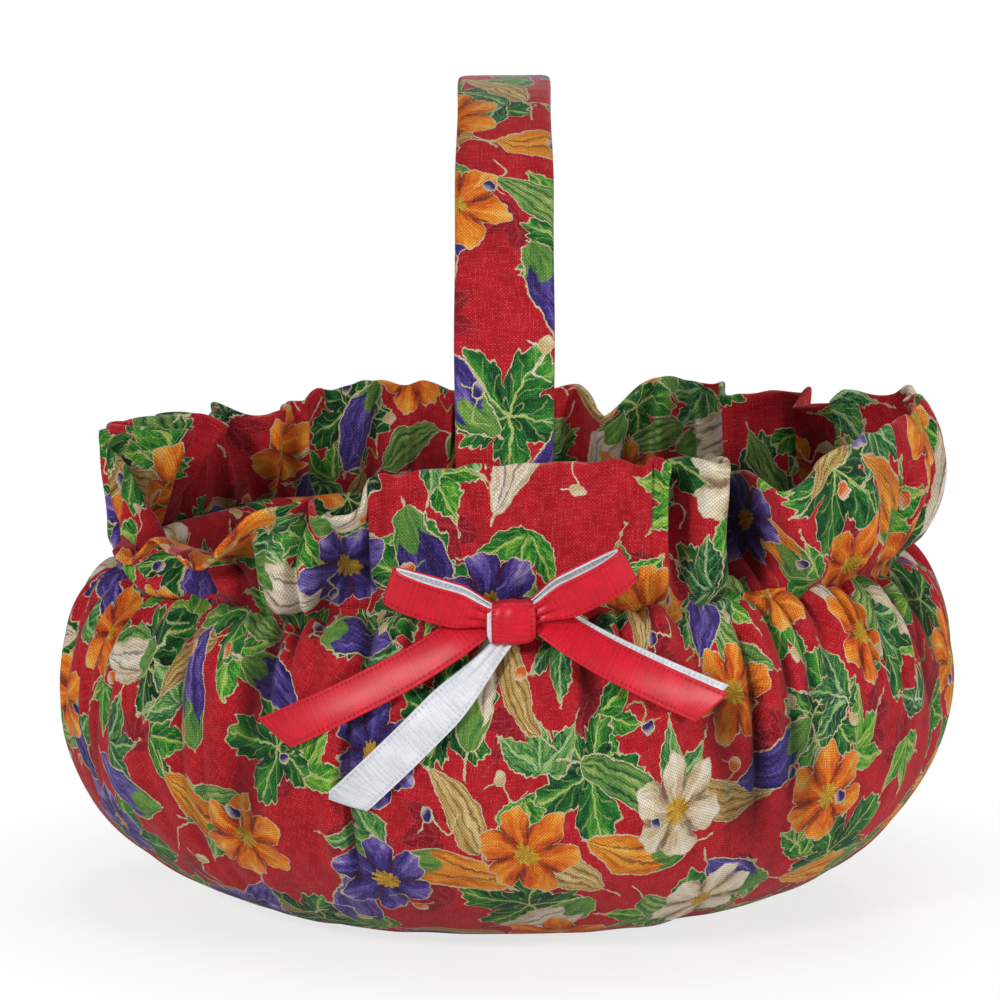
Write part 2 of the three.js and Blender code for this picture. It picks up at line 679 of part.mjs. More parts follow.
// The thread that tacks the knot to the ruffle's foot
function threadGeometry() {
  const from = NECK_RADIUS + RUFFLE_THICKNESS / 2 + RUFFLE_GATHER + FIT;
  const to = -knotMiddle.y - KNOT_DEPTH / 2 - FIT;
  const outline = [[0, from], [THREAD_RADIUS, from], [THREAD_RADIUS, to], [0, to]];
  return acrossLeg(turned(outline, THREAD_SIDES), true, knotMiddle.z).translate(KNOT_RIGHT, 0, 0);
}

// Finishes
const printedCotton = new THREE.MeshStandardMaterial({ color: 0xb3202f, roughness: 0.88, metalness: 0 });
const wadding = new THREE.MeshStandardMaterial({ color: 0xf1efe8, roughness: 0.95, metalness: 0 });
const plastic = new THREE.MeshStandardMaterial({ color: 0xd8d6cf, roughness: 0.5, metalness: 0 });
const greyBoard = new THREE.MeshStandardMaterial({ color: 0x9a958a, roughness: 0.9, metalness: 0 });
const cottonTape = new THREE.MeshStandardMaterial({ color: 0xa82430, roughness: 0.9, metalness: 0 });
const wovenElastic = new THREE.MeshStandardMaterial({ color: 0xf0efec, roughness: 0.8, metalness: 0 });
const nickel = new THREE.MeshStandardMaterial({ color: 0xb9bab8, roughness: 0.35, metalness: 1 });
const redSatin = new THREE.MeshStandardMaterial({ color: 0xcf1730, roughness: 0.4, metalness: 0 });
const whiteSatin = new THREE.MeshStandardMaterial({ color: 0xeceef2, roughness: 0.4, metalness: 0 });

// Assembly
const basket = new THREE.Group();

function add(name, geometry, material) {
  const mesh = new THREE.Mesh(cleaned(geometry), material);
  mesh.name = name;
  basket.add(mesh);
}

add('inner_tub', tubGeometry(), plastic);
add('base_board', boardGeometry(), greyBoard);
add('wadding', waddingGeometry(), wadding);
add('cover', coverGeometry(), printedCotton);
add('lining', liningGeometry(), printedCotton);
add('neck_casing', casingGeometry(), cottonTape);
add('neck_elastic', elasticGeometry(), wovenElastic);
add('ruffle', ruffleGeometry(), printedCotton);
add('handle_strip', stripGeometry(), plastic);
add('handle_sleeve', sleeveGeometry(), printedCotton);
rivetPlaces().forEach(({ name, front, height }) => add(name, rivetGeometry(front, height), nickel));
add('bow_knot', knotGeometry(), redSatin);
add('bow_thread', threadGeometry(), redSatin);
add('red_loop_left', loopGeometry(LEFT_LOOP, 0), redSatin);
add('red_loop_right', loopGeometry(RIGHT_LOOP, 0), redSatin);
add('white_loop_left', loopGeometry(LEFT_LOOP, RIBBON_GAP), whiteSatin);
add('white_loop_right', loopGeometry(RIGHT_LOOP, RIBBON_GAP), whiteSatin);
Object.entries(TAILS).forEach(([name, tail]) => {
  add(name, tailGeometry(tail), name.startsWith('red') ? redSatin : whiteSatin);
});

export default basket;
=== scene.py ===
"""Fabric basket: a padded tub in gathered printed cotton, with a ruffle, an arched handle and a satin bow.

Metres, +Z up, the bow at the front, at -Y. Angles round the basket run from the front towards +X.
"""
import math

import bpy
import numpy as np
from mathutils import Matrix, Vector


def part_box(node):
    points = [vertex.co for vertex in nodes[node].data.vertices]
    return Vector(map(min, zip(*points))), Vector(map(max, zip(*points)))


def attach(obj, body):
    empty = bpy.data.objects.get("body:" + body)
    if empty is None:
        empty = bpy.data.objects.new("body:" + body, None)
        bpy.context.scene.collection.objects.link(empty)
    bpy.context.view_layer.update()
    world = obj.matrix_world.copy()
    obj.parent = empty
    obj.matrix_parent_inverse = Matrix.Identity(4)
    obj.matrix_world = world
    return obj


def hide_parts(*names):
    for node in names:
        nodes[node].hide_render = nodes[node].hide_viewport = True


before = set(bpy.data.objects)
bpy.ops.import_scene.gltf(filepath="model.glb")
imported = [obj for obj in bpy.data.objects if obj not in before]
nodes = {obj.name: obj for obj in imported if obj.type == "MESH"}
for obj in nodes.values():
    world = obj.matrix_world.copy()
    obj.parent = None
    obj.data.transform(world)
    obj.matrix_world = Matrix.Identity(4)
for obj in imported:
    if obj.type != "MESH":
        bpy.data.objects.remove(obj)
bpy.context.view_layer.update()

MM = 0.001

# Sizes taken from the frame
_, cover_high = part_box("cover")
casing_low, casing_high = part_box("neck_casing")
sleeve_low, sleeve_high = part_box("handle_sleeve")
lining_low, lining_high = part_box("lining")
tub_low, tub_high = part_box("inner_tub")
knot_low, knot_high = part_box("bow_knot")
FIT = 0.3 * MM
BELT_RADIUS = cover_high.x
NECK_RADIUS = casing_high.x + FIT
NECK_HEIGHT = casing_high.z - 1.0 * MM
TUB_RADIUS = tub_high.x
LEG_OUTER = sleeve_high.y
HANDLE_WIDTH = sleeve_high.x - sleeve_low.x
ARCH_HEIGHT = sleeve_high.z - LEG_OUTER
KNOT_MIDDLE = (np.array(knot_low) + np.array(knot_high)) / 2
KNOT_SIZE = np.array(knot_high) - np.array(knot_low)

# Padded body
FOOT_RADIUS = 53 * MM
BELT_HEIGHT = 58 * MM
BELLY_FULLNESS = 2.16
SHOULDER_FULLNESS = 1.96
WADDING_DEPTH = 5.5 * MM  # how far the wadding stays under the cover's smooth form
SIDE_TILT = 0.02  # the body sags to the left: rise per length towards the right
COVER_ROWS = 150
COVER_COLUMNS = 1080
COVER_BAKE = 2.04  # width of the cover's bake picture over the length of its profile
COVER_SIDE = (60 * MM, 92 * MM)  # along the cover from its middle, where the underside turns into the side
# Soft unevenness of the cotton: height in millimetres, seed, most waves round the basket and pitch along it
COVER_RUMPLES = [(1.0, 31, 11, 0.09), (0.35, 32, 34, 0.03)]
RUFFLE_RUMPLES = [(0.9, 41, 60, 0.05), (0.45, 42, 140, 0.03)]
LINING_RUMPLES = [(0.7, 62, 16, 0.09), (0.3, 63, 50, 0.05)]
# Where these pieces were cut from the printed cotton, across and along it
RUFFLE_CUT = (0.9, 0.3)
SLEEVE_CUT = (0.4, 0.7)
LINING_CUT = (1.3, 0.1)

# Gathers of the cotton on both sides of the elastic: how many, how deep and how far they run
GATHERS = [
    {"count": 20, "depth": 2.4 * MM, "run": 55 * MM, "seed": 3},
    {"count": 44, "depth": 2.9 * MM, "run": 40 * MM, "seed": 4},
    {"count": 84, "depth": 3.2 * MM, "run": 27 * MM, "seed": 5},
    {"count": 150, "depth": 1.2 * MM, "run": 9 * MM, "seed": 6},
]
GATHER_LIMIT = 5.0 * MM
TUCK_WIDTH = 2.6 * MM
# Long tucks in the belly: angle, distance of the top from the neck, length and depth
TUCKS = [
    (-19, 18, 74, 4.6), (32, 2, 70, 6.0), (-46, 2, 40, 2.8), (58, 4, 44, 2.8), (-74, 6, 52, 2.8),
    (86, 2, 50, 2.4), (-104, 4, 46, 2.4), (112, 4, 58, 2.6), (-131, 2, 52, 2.4), (139, 6, 46, 2.2),
    (-158, 2, 60, 2.6), (167, 4, 48, 2.4), (8, 24, 44, 1.4),
]

# Ruffle folds: place round the neck, lean at the neck, further curl by the edge and swing of the edge,
# all in degrees, and the share of the ruffle's height
RUFFLE_HEIGHT = 40 * MM
RUFFLE_FOLDS = [
    (-17.4, 0, 4, -1, 0.86), (0, -3, 3, 0, 0.95), (14, -3, 3, 1, 0.95), (21.5, 4, 0, 0, 0.92),
    (24.5, -26, 12, -1, 0.9), (28, 14, -14, 0, 0.92), (30.6, 6, -4, 0, 0.92), (33, -78, 82, 3, 0.96),
    (39.5, -66, 64, 0, 0.9), (44.5, 28, -26, -7, 0.72), (50, 45, -64, -4, 0.92), (57, 52, -84, 0, 1.08),
    (63, 44, -68, 0, 1.05), (70, 55, -88, 1, 1.15), (84, 55, -90, 2, 1.15), (94, 40, -66, 4, 1.08),
    (102, -14, 0, 2, 0.98), (109, 6, 6, 0, 0.9), (118, -18, 0, 0, 0.875), (127, 4, 6, 0, 0.9),
    (136, -16, 0, 0, 0.875), (146, 6, 0, 0, 0.9), (154, 2, -6, 0, 0.925), (162, -18, -8, 0, 0.725),
    (168, -2, 2, 0, 0.875), (174, -6, 0, 0, 0.8), (186, -4, 0, 0, 0.85), (199, 4, 0, 0, 0.925),
    (213, 2, 0, 0, 0.875), (223, -14, 0, 0, 0.8), (231, 4, 4, 0, 0.85), (238, -12, 0, 0, 0.8),
    (246, 6, 4, 0, 0.875), (251, -34, 0, 0, 1.02), (262, 3, 2, 0, 0.9), (275, 5, 0, -4, 0.92),
    (290, -32, 4, -12, 1.02), (296, 4, 2, -13, 0.91), (300, -16, 40, -10.5, 0.76),
    (304.5, -30, 100, -9, 0.4), (309, -32, 160, -7, 0.54), (314, -37, 140, -4, 0.58),
    (320, -27, 150, -1, 0.7), (324.5, -24, 118, 0, 0.68), (326.5, -7, 50, 0, 0.69),
    (328.5, 2, 10, 0, 0.715), (332, -2, 0, 0, 0.685), (335.5, -6, 30, 0, 0.63), (338, -30, 86, 0, 0.72),
    (340.6, -32, 70, 0, 0.78),
]
# Plump lobes of the ruffle that hang over the gather line: place and half width in degrees, swell and droop
PUFFS = [
    (308, 6.6, 9 * MM, 3 * MM), (319.6, 2.0, 4 * MM, 2 * MM), (330, 4.8, 9.5 * MM, 4.5 * MM),
]
RUFFLE_BOTTOM = NECK_HEIGHT + 0.3 * MM
RUFFLE_COLUMNS = 1500
RUFFLE_ROWS = 26
HEM_STEPS = 8
SHADE_REACH = 58  # columns on each side that a hollow is measured against, for the painted shade
RUFFLE_SHADE_DEPTH = (0.8 * MM, 5.5 * MM)  # depth of the hollows where the painted shade begins and where it is full
# the same for the painted shade in the hollows of the cover's gathers and tucks
COVER_SHADE_DEPTH = (0.3 * MM, 2.8 * MM)
SHADE_GAP_END = (335, 340)  # degrees over which the painted shade in the gaps between the lobes ends, left of the panel
HEM_HALF = 0.8 * MM  # half the thickness of the plump folded edge
PLY_HALF = 0.5 * MM  # half the thickness of the doubled cotton below it
PLEAT_COUNT = 46
PLEAT_DEPTH = 5.2 * MM
SEAM_TUCK = 2.2 * MM  # how far the cover runs up behind the ruffle
SEAM_DROP = 5.5 * MM  # how far the ruffle's foot runs down behind the gathers of the cover
SEAM_OUT = 0.5 * MM

# Handle sleeve
SLEEVE_ROWS = 300
SLEEVE_COLUMNS = 56
SLEEVE_SQUARENESS = (0.30, 0.62)  # of its section, across and through: 1 is an oval, less is squarer
PUCKER_SCALE = 1.15 * MM  # the sleeve's small puckers are 2 pi times this apart

# Lining, wadding, neck casing and elastic
TUB_WALL = 1.6 * MM
TUB_CORNER = 22 * MM
LINING_GAP = 2.4 * MM  # room for the rivets' heads and the cotton
LINING_LIFT = 0.7 * MM  # how far the cotton lies off the lining's lowest point and off the side
LINING_CORNER = 20.1 * MM
LINING_COLUMNS = 480
WADDING_COLUMNS = 160
WADDING_BOTTOM = 3.4 * MM
BAND_COLUMNS = 360
BAND_RIPPLES = 90
CASING_INSIDE = 102.4 * MM
ELASTIC_INSIDE = 103.25 * MM
ELASTIC_OUTSIDE = 104.05 * MM

# Bow
RIBBON_WIDTH = 10 * MM
RIBBON_THICKNESS = 0.34 * MM
SATIN_PITCH = 0.34 * MM
DOT_PITCH = 1.25 * MM
RIBBON_GAP = 0.9 * MM  # between the red loops and the white ones in them
RIBBON_COLUMNS = 21
LOOP_ROWS = 121
LOOP_REACH = 32 * MM
LOOP_BULGE = 3.4 * MM
LOOP_BACK_BULGE = 0.8 * MM
LOOP_ROOT_GAP = 1.5 * MM
LOOP_PINCH = 0.5  # share of the ribbon's width at the knot
LOOP_PLEAT = 1.0 * MM
LOOP_OPENING = 0.4
LOOP_FORWARD = math.radians(20)
LOOP_TILTS = ((-1, "left", 17), (1, "right", 27))  # side, its word and the loop's rise in degrees
TAIL_ROWS = 70
TAIL_PLEAT = 0.8 * MM
TAIL_CUP = -0.5 * MM
TAIL_LIFT = 4.4 * MM  # height of the gathers' crests at the neck, on which the tails lie
TAIL_SETTLE = 45 * MM
TAIL_END_CUT = 3.2 * MM  # how far the upper corner of a cut end runs past its middle
# Tails: side, then root and end, each by its place sideways, its drop below the neck and its lift off the
# cotton, in millimetres, and the share of the ribbon's width at the root. A root counts from the knot's side.
TAILS = {
    "red_tail_left": (-1, (2.4, 2.5, 2.4), (56, 27, 0.9), 1.0),
    "red_tail_right": (1, (2.4, 2.5, 2.4), (50, 22.5, 1.5), 1.0),
    "white_tail_left": (-1, (-2.6, 5.5, 0.3), (39, 43.5, 0.5), 0.45),
    "white_tail_right": (1, (2.4, 1.3, 1.2), (50.5, 20.7, 0.5), 1.0),
}
KNOT_ROWS = 40
KNOT_COLUMNS = 72
KNOT_SQUARENESS = 3.4  # 2 is an oval, more is squarer

# Studio: camera, floor and lamps
CAMERA_RISE = math.radians(8)
CAMERA_AWAY = 1.061
CAMERA_TARGET = (-1.1 * MM, 0, 106.2 * MM)
LENS = 138.3  # millimetres, as the sensor's width
SENSOR = 36
FLOOR_REACH = 6.0
SHADOW_SHARE = 0.26  # how much of the floor's own shade shows by the basket
SHADOW_REACH = (0.09, 0.18)  # from the basket's middle, where that share begins to fade and is gone
WORLD_LIGHT = 0.05
LAMP_TARGET = (0, 0, 0.1)
# Lamps: place, size across and watts
LAMPS = {
    "key_light": ((-0.68, -1.1, 0.6), 0.26, 11.6),
    "fill_light": ((1.15, -0.85, 0.42), 0.34, 11.2),
    "top_light": ((0, -0.2, 1.9), 0.6, 5),
    "back_light": ((0.3, 1.4, 0.6), 0.4, 14),
}


def smooth(low, high, value):
    """0 below low, 1 above high and an even rise in between."""
    share = np.clip((value - low) / (high - low), 0, 1)
    return share * share * (3 - 2 * share)


def unit(vectors):
    return vectors / np.linalg.norm(vectors, axis=-1, keepdims=True)


def joined(*values):
    """Points, or cloth coordinates, from values that fit each other."""
    return np.stack(np.broadcast_arrays(*values), axis=-1)


def polar(radius, angle, height):
    """Points at a radius, an angle in radians from the front and a height."""
    return joined(radius * np.sin(angle), -radius * np.cos(angle), height)


def round_angles(columns):
    """Even angles once round, as a row: without the closing one, and with it."""
    closed = np.linspace(0, 2 * np.pi, columns + 1)[None, :]
    return closed[:, :-1], closed


def apart(place, other=0.0):
    """How far places round the basket lie from another one, in degrees."""
    return np.abs(np.mod(place - other + 180, 360) - 180)


def run_along(line):
    """Length from the first point of a line to each of its points."""
    return np.concatenate([[0], np.cumsum(np.linalg.norm(np.diff(line, axis=0), axis=1))])


def drift(angle, seed, slowest, fastest):
    """A wandering value, mostly between -1 and 1, that closes round the basket."""
    chance = np.random.default_rng(seed)
    total = np.zeros_like(angle)
    for turns in range(slowest, fastest + 1):
        total += chance.normal() * np.sin(turns * angle + chance.uniform(0, 2 * np.pi))
    return total / math.sqrt(fastest - slowest + 1)


def rumple(angle, along, seed, most_turns, pitch, waves=18):
    """Soft unevenness of cloth over an angle and a length, mostly between -1 and 1."""
    chance = np.random.default_rng(seed)
    total = np.zeros(np.broadcast(angle, along).shape)
    for _ in range(waves):
        turns = chance.integers(2, most_turns + 1)
        rate = chance.uniform(-1, 1) * 2 * np.pi / pitch
        total += np.sin(turns * angle + rate * along + chance.uniform(0, 2 * np.pi))
    return total / math.sqrt(waves / 2) / 1.6


def gather_relief(angle, distance, reach=1.0):
    """How far the cotton rises at an angle and a distance from the elastic: round crests, pinched hollows."""
    relief = np.zeros(np.broadcast(angle, distance).shape)
    for gather in GATHERS:
        count, seed = gather["count"], gather["seed"]
        sway = angle + distance / NECK_RADIUS * 0.22 * drift(angle, seed + 20, 2, 9)
        phase = count * sway + 1.5 * drift(sway, seed, 2, count // 3)
        crest = np.sqrt(0.5 + 0.5 * np.cos(phase))
        strength = np.clip(1 + 0.45 * drift(angle, seed + 10, 3, count // 2), 0.25, 1.9)
        run = gather["run"] * reach * np.clip(1 + 0.35 * drift(angle, seed + 30, 3, count // 3), 0.4, 1.9)
        relief += gather["depth"] * strength * (crest - 0.62) * np.exp(-((distance / run) ** 1.5))
    onset = 0.5 + 0.5 * smooth(0, 6 * MM, distance)
    return GATHER_LIMIT * np.tanh(relief / GATHER_LIMIT) * onset


# Meshes

CORNERS = ((0, 0), (0, 1), (1, 1), (1, 0))  # steps up and across to the four corners of a grid's face


def grid_faces(rows, columns):
    """Row and column of each face of a grid."""
    row, column = np.meshgrid(np.arange(rows), np.arange(columns), indexing="ij")
    return row.ravel(), column.ravel()


def patch(points, cloth, ring=False):
    """Corners and cloth coordinates of a grid of points. A ring closes across its columns.

    cloth has a value for each grid corner, with one more column than points where the patch is a ring.
    """
    rows, columns = points.shape[:2]
    across = columns if ring else columns - 1
    row, column = grid_faces(rows - 1, across)
    corners = [(row + up) * columns + (column + over) % columns for up, over in CORNERS]
    cloth_corners = [cloth[row + up, column + over] for up, over in CORNERS]
    return points.reshape(-1, 3), np.stack(corners, axis=1), np.stack(cloth_corners, axis=1)


def piece(name, patches, finish, stands_for=(), bake=None):
    """A smooth mesh of one or more patches, which rides on the basket and stands for CAD nodes."""
    points, faces, cloth, before = [], [], [], 0
    for patch_points, corners, cloth_corners in patches:
        points.append(patch_points)
        faces.append(corners + before)
        cloth.append(cloth_corners)
        before += len(patch_points)
    mesh = bpy.data.meshes.new(name)
    mesh.from_pydata(np.concatenate(points).tolist(), [], np.concatenate(faces).tolist())
    mesh.uv_layers.new(name="cloth").uv.foreach_set("vector", np.concatenate(cloth).ravel())
    if bake is not None:
        mesh.uv_layers.new(name="OFBake").uv.foreach_set("vector", np.clip(bake, 0, 1).ravel())
    mesh.shade_smooth()
    mesh.materials.append(finish)
    made = bpy.data.objects.new(name, mesh)
    bpy.context.scene.collection.objects.link(made)
    if stands_for:
        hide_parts(*stands_for)
    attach(made, "root")
    return made


def set_point_value(made, name, values):
    """Gives a piece's points a value that its finish reads by name."""
    made.data.attributes.new(name, "FLOAT", "POINT").data.foreach_set("value", np.ravel(values))


def bands(rows, columns, count):
    """Bake coordinates of a long strip of faces, cut into bands that lie above each other."""
    row, column = grid_faces(rows, columns)
    band_columns = math.ceil(columns / count)
    band = column // band_columns
    left = (column - band * band_columns) / band_columns
    low = row / rows
    step_across, step_up, edge = 1 / band_columns, 1 / rows, 0.02
    corners = []
    for add_up, add_across in CORNERS:
        across = edge + (1 - 2 * edge) * (left + add_across * step_across)
        up = (band + edge + (1 - 2 * edge) * (low + add_up * step_up)) / count
        corners.append(np.stack([across, up], axis=-1))
    return np.stack(corners, axis=1)


# Finishes


class Wire:
    """A socket that takes part in sums: an expression on wires adds its Math nodes."""

    def __init__(self, finish, socket):
        self.finish = finish
        self.socket = socket

    def maths(self, operation, *others):
        inputs = {number: value for number, value in enumerate((self, *others))}
        return self.finish.node("Math", {"operation": operation}, inputs)

    def swapped(self, operation, first):
        return self.finish.node("Math", {"operation": operation}, {0: first, 1: self})

    def __add__(self, other):
        return self.maths("ADD", other)

    def __sub__(self, other):
        return self.maths("SUBTRACT", other)

    def __mul__(self, other):
        return self.maths("MULTIPLY", other)

    def __truediv__(self, other):
        return self.maths("DIVIDE", other)

    def __pow__(self, other):
        return self.maths("POWER", other)

    def __lt__(self, other):
        return self.maths("LESS_THAN", other)

    def __gt__(self, other):
        return self.maths("GREATER_THAN", other)

    def __rsub__(self, other):
        return self.swapped("SUBTRACT", other)

    def __rtruediv__(self, other):
        return self.swapped("DIVIDE", other)

    __radd__ = __add__
    __rmul__ = __mul__

    def __abs__(self):
        return self.maths("ABSOLUTE")

    def rise(self, low, high):
        """0 at low, 1 at high, smooth in between. low may be the larger."""
        settings = {"interpolation_type": "SMOOTHSTEP"}
        if low < high:
            return self.finish.node("MapRange", settings, {"Value": self, "From Min": low, "From Max": high})
        inputs = {"Value": self, "From Min": high, "From Max": low, "To Min": 1, "To Max": 0}
        return self.finish.node("MapRange", settings, inputs)


class Finish:
    """A material, or the world, in the making, with one way to add a node."""

    def __init__(self, name, kind="materials"):
        self.owner = getattr(bpy.data, kind).new(name)
        self.owner.use_nodes = True
        self.tree = self.owner.node_tree
        self.tree.nodes.clear()

    def node(self, kind, settings=None, inputs=None, output=0):
        """Adds a node: its settings first, then the values or links of its sockets. Returns one output."""
        made = self.tree.nodes.new("ShaderNode" + kind)
        for name, value in (settings or {}).items():
            if name == "stops":
                self.set_stops(made.color_ramp, value)
            elif name == "interpolation":
                made.color_ramp.interpolation = value
            else:
                setattr(made, name, value)
        for name, value in (inputs or {}).items():
            if isinstance(value, Wire):
                self.tree.links.new(value.socket, made.inputs[name])
            else:
                made.inputs[name].default_value = value
        return Wire(self, made.outputs[output]) if made.outputs else None

    @staticmethod
    def set_stops(ramp, stops):
        while len(ramp.elements) < len(stops):
            ramp.elements.new(1)
        for element, (place, shade) in zip(ramp.elements, stops):
            element.position = place
            element.color = shade

    def vector(self, operation, first, second=(0, 0, 0), third=(0, 0, 0)):
        return self.node("VectorMath", {"operation": operation}, {0: first, 1: second, 2: third})

    def mix(self, share, first, second, blend="MIX"):
        settings = {"data_type": "RGBA", "blend_type": blend}
        return self.node("Mix", settings, {0: share, 6: first, 7: second}, 2)

    def ramp(self, value, stops, interpolation="LINEAR"):
        settings = {"stops": stops, "interpolation": interpolation}
        return self.node("ValToRGB", settings, {"Fac": value})

    def split(self, vector):
        outputs = self.node("SeparateXYZ", None, {0: vector}).socket.node.outputs
        return [Wire(self, output) for output in outputs]

    def join(self, x, y, z=0.0):
        return self.node("CombineXYZ", None, {0: x, 1: y, 2: z})

    def noise(self, place, scale, detail=2.0, roughness=0.5, output="Fac", flat=True):
        settings = {"noise_dimensions": "2D" if flat else "3D"}
        inputs = {"Vector": place, "Scale": scale, "Detail": detail, "Roughness": roughness}
        return self.node("TexNoise", settings, inputs, output)

    def bump(self, height, distance, strength=1.0, under=None):
        inputs = {"Height": height, "Distance": distance, "Strength": strength}
        if under is not None:
            inputs["Normal"] = under
        return self.node("Bump", None, inputs)

    def close(self, **inputs):
        """Ends the material in one Principled shader."""
        named = {name.replace("_", " "): value for name, value in inputs.items()}
        shader = self.node("BsdfPrincipled", None, named)
        self.node("OutputMaterial", None, {"Surface": shader})
        return self.owner


def colour(text):
    """A colour written as in a paint program, as Blender's linear values."""
    values = [int(text[start:start + 2], 16) / 255 for start in (0, 2, 4)]
    linear = [value / 12.92 if value <= 0.04045 else ((value + 0.055) / 1.055) ** 2.4 for value in values]
    return (*linear, 1.0)


def even_stops(*texts):
    """Ramp stops at even steps."""
    return [(number / (len(texts) - 1), colour(text)) for number, text in enumerate(texts)]


# Print: leaves, blossoms, buds, pods and tendrils scattered over a red ground

CREAM = colour("CFC29C")
THREAD_PITCH = 0.48 * MM
# Inks, from the deepest tone to the lightest
RED_GROUND = even_stops("880E1C", "B01624", "C41F2C", "D22C38")
RED_LEAF = even_stops("6E0A18", "860F1E", "951524", "A81E2E")
GREEN_LEAF = even_stops("052612", "0A4820", "177026", "3F962A", "8CBC40", "C8D878")
DEEP_LEAF = even_stops("041C14", "083226", "185634", "40803E", "7EAA56", "BCD092")
VINE_LEAF = even_stops("052210", "0B4420", "1B6A28", "449030", "90B846", "CAD67C")
ORANGE_PETAL = even_stops("6E1C0E", "BE4312", "E4701A", "F29A2E", "F8C868")
VIOLET_PETAL = even_stops("140E34", "2A1F62", "4A3A8C", "7B68B4", "C2B6DC")
CREAM_PETAL = even_stops("7E6142", "B89E74", "DDCDAE", "EFE6D3", "FAF5EA")
YELLOW_HEART = even_stops("3E1C0C", "8A5A16", "E8BE3A", "F8E48A")
VIOLET_BUD = even_stops("120C30", "261C58", "463686", "7F6CB8", "CFC4E4")
CREAM_BUD = even_stops("6E5238", "B39A76", "DDCFB6", "F0E8D8", "FBF8F0")
AMBER_BUD = even_stops("7A2A0C", "C25816", "E48A26", "F2B548", "F9E09A")
GREEN_SEPAL = even_stops("0C3420", "2C6B34", "7FA848", "C6D482")
OCHRE_POD = even_stops("4A3216", "83602C", "B18E4C", "D5BA7C", "EFE2B8")
GREEN_POD = even_stops("0C3A22", "275F32", "5F8F44", "A0B866", "DDE0A4")
STEMS = even_stops("D9CFA0", "7FA64A", "E6DCC6")
BERRIES = [(0, colour("33266E")), (0.4, colour("D8641A")), (0.7, colour("C9B27C"))]
RED_VEIN = colour("B0303A")
LIME_VEIN = colour("B9CC6A")
MINT_VEIN = colour("A8CC8C")


def scattered(paint, cloth, cell, turn, seed, reach, share):
    """Places one motif in a share of the cells of a turned net over the cloth.

    Returns the motif's own coordinates, where its reach is 1, whether it is there, and two chance values.
    """
    settings = {"rotation_type": "Z_AXIS"}
    turned = paint.node("VectorRotate", settings, {"Vector": cloth, "Angle": math.radians(turn)})
    start = (seed * 0.37, seed * 0.61, seed * 7.0)
    net = paint.vector("MULTIPLY_ADD", turned, (1 / cell, 1 / cell, 0), start)
    number = paint.vector("FLOOR", net)
    lots = paint.node("TexWhiteNoise", {"noise_dimensions": "3D"}, {"Vector": number}, "Color")
    more = paint.node("TexWhiteNoise", {"noise_dimensions": "4D"}, {"Vector": number, "W": 3.7}, "Color")
    room = 0.5 - reach / cell
    offset = paint.vector("MULTIPLY_ADD", lots, (2 * room, 2 * room, 0), (0.5 - room, 0.5 - room, 0))
    inside = paint.vector("SUBTRACT", paint.vector("SUBTRACT", net, number), offset)
    spin, tone, kind = paint.split(more)
    aimed = paint.node("VectorRotate", settings, {"Vector": inside, "Angle": spin * (2 * math.pi)})
    place = paint.vector("MULTIPLY", aimed, (cell / reach, cell / reach, 0))
    here = paint.split(lots)[2] < share
    return place, here, tone, kind


def round_parts(paint, place):
    """Both of a motif's own coordinates, with their distance and angle from its middle."""
    x, y, _ = paint.split(place)
    return x, y, (x * x + y * y) ** 0.5, y.maths("ARCTAN2", x)


def laid(paint, ground, inside, shade, here, outline=CREAM, line=0.03):
    """Paints a motif with a fine line round it. inside is positive within the motif."""
    border = inside.rise(-line, -line * 0.5) * here
    fill = inside.rise(-line * 0.1, line * 0.4) * here
    return paint.mix(fill, paint.mix(border, ground, outline), shade)


def strokes(paint, across, along, kind, size=1.5):
    """Brush strokes that run along a motif."""
    return paint.noise(paint.join(across, along, kind * 13), size, 4, 0.6, flat=False)


def inked(paint, light, kind, first, *others):
    """Shades a motif in its first ink, or in another one where kind is above that one's start."""
    shade = paint.ramp(light, first)
    for start, ink in others:
        shade = paint.mix(kind > start, shade, paint.ramp(light, ink))
    return shade


def vine_leaves(paint, ground, place, here, tone, kind):
    """Leaves with five lobes, toothed edges, veins and ribs."""
    _, _, away, angle = round_parts(paint, place)
    lobe = abs((angle * 2.5).maths("COSINE"))
    between = abs((angle * 2.5).maths("SINE"))
    teeth = (angle * 31).maths("SINE") * 0.035 + (angle * 17 + kind * 6).maths("SINE") * 0.03
    edge = (0.40 + lobe ** 0.8 * 0.54) * (0.84 + angle.maths("COSINE") * 0.16) + teeth
    inside = edge - away
    brush = strokes(paint, angle * 4.5, away * 1.5, kind)
    light = brush * 1.35 - 0.4 + tone * 0.25 - between * 0.25 + away * 0.12
    shade = paint.ramp(light, VINE_LEAF)
    vein = (between * away).rise(0.055, 0.02) * inside.rise(0.0, 0.1)
    ribs = (away * 19 - between * 9).maths("SINE").rise(0.88, 1.0) * inside.rise(0.03, 0.14) * 0.5
    shade = paint.mix(vein.maths("MAXIMUM", ribs) * 0.85, shade, colour("BECB7C"))
    return laid(paint, ground, inside, shade, here)


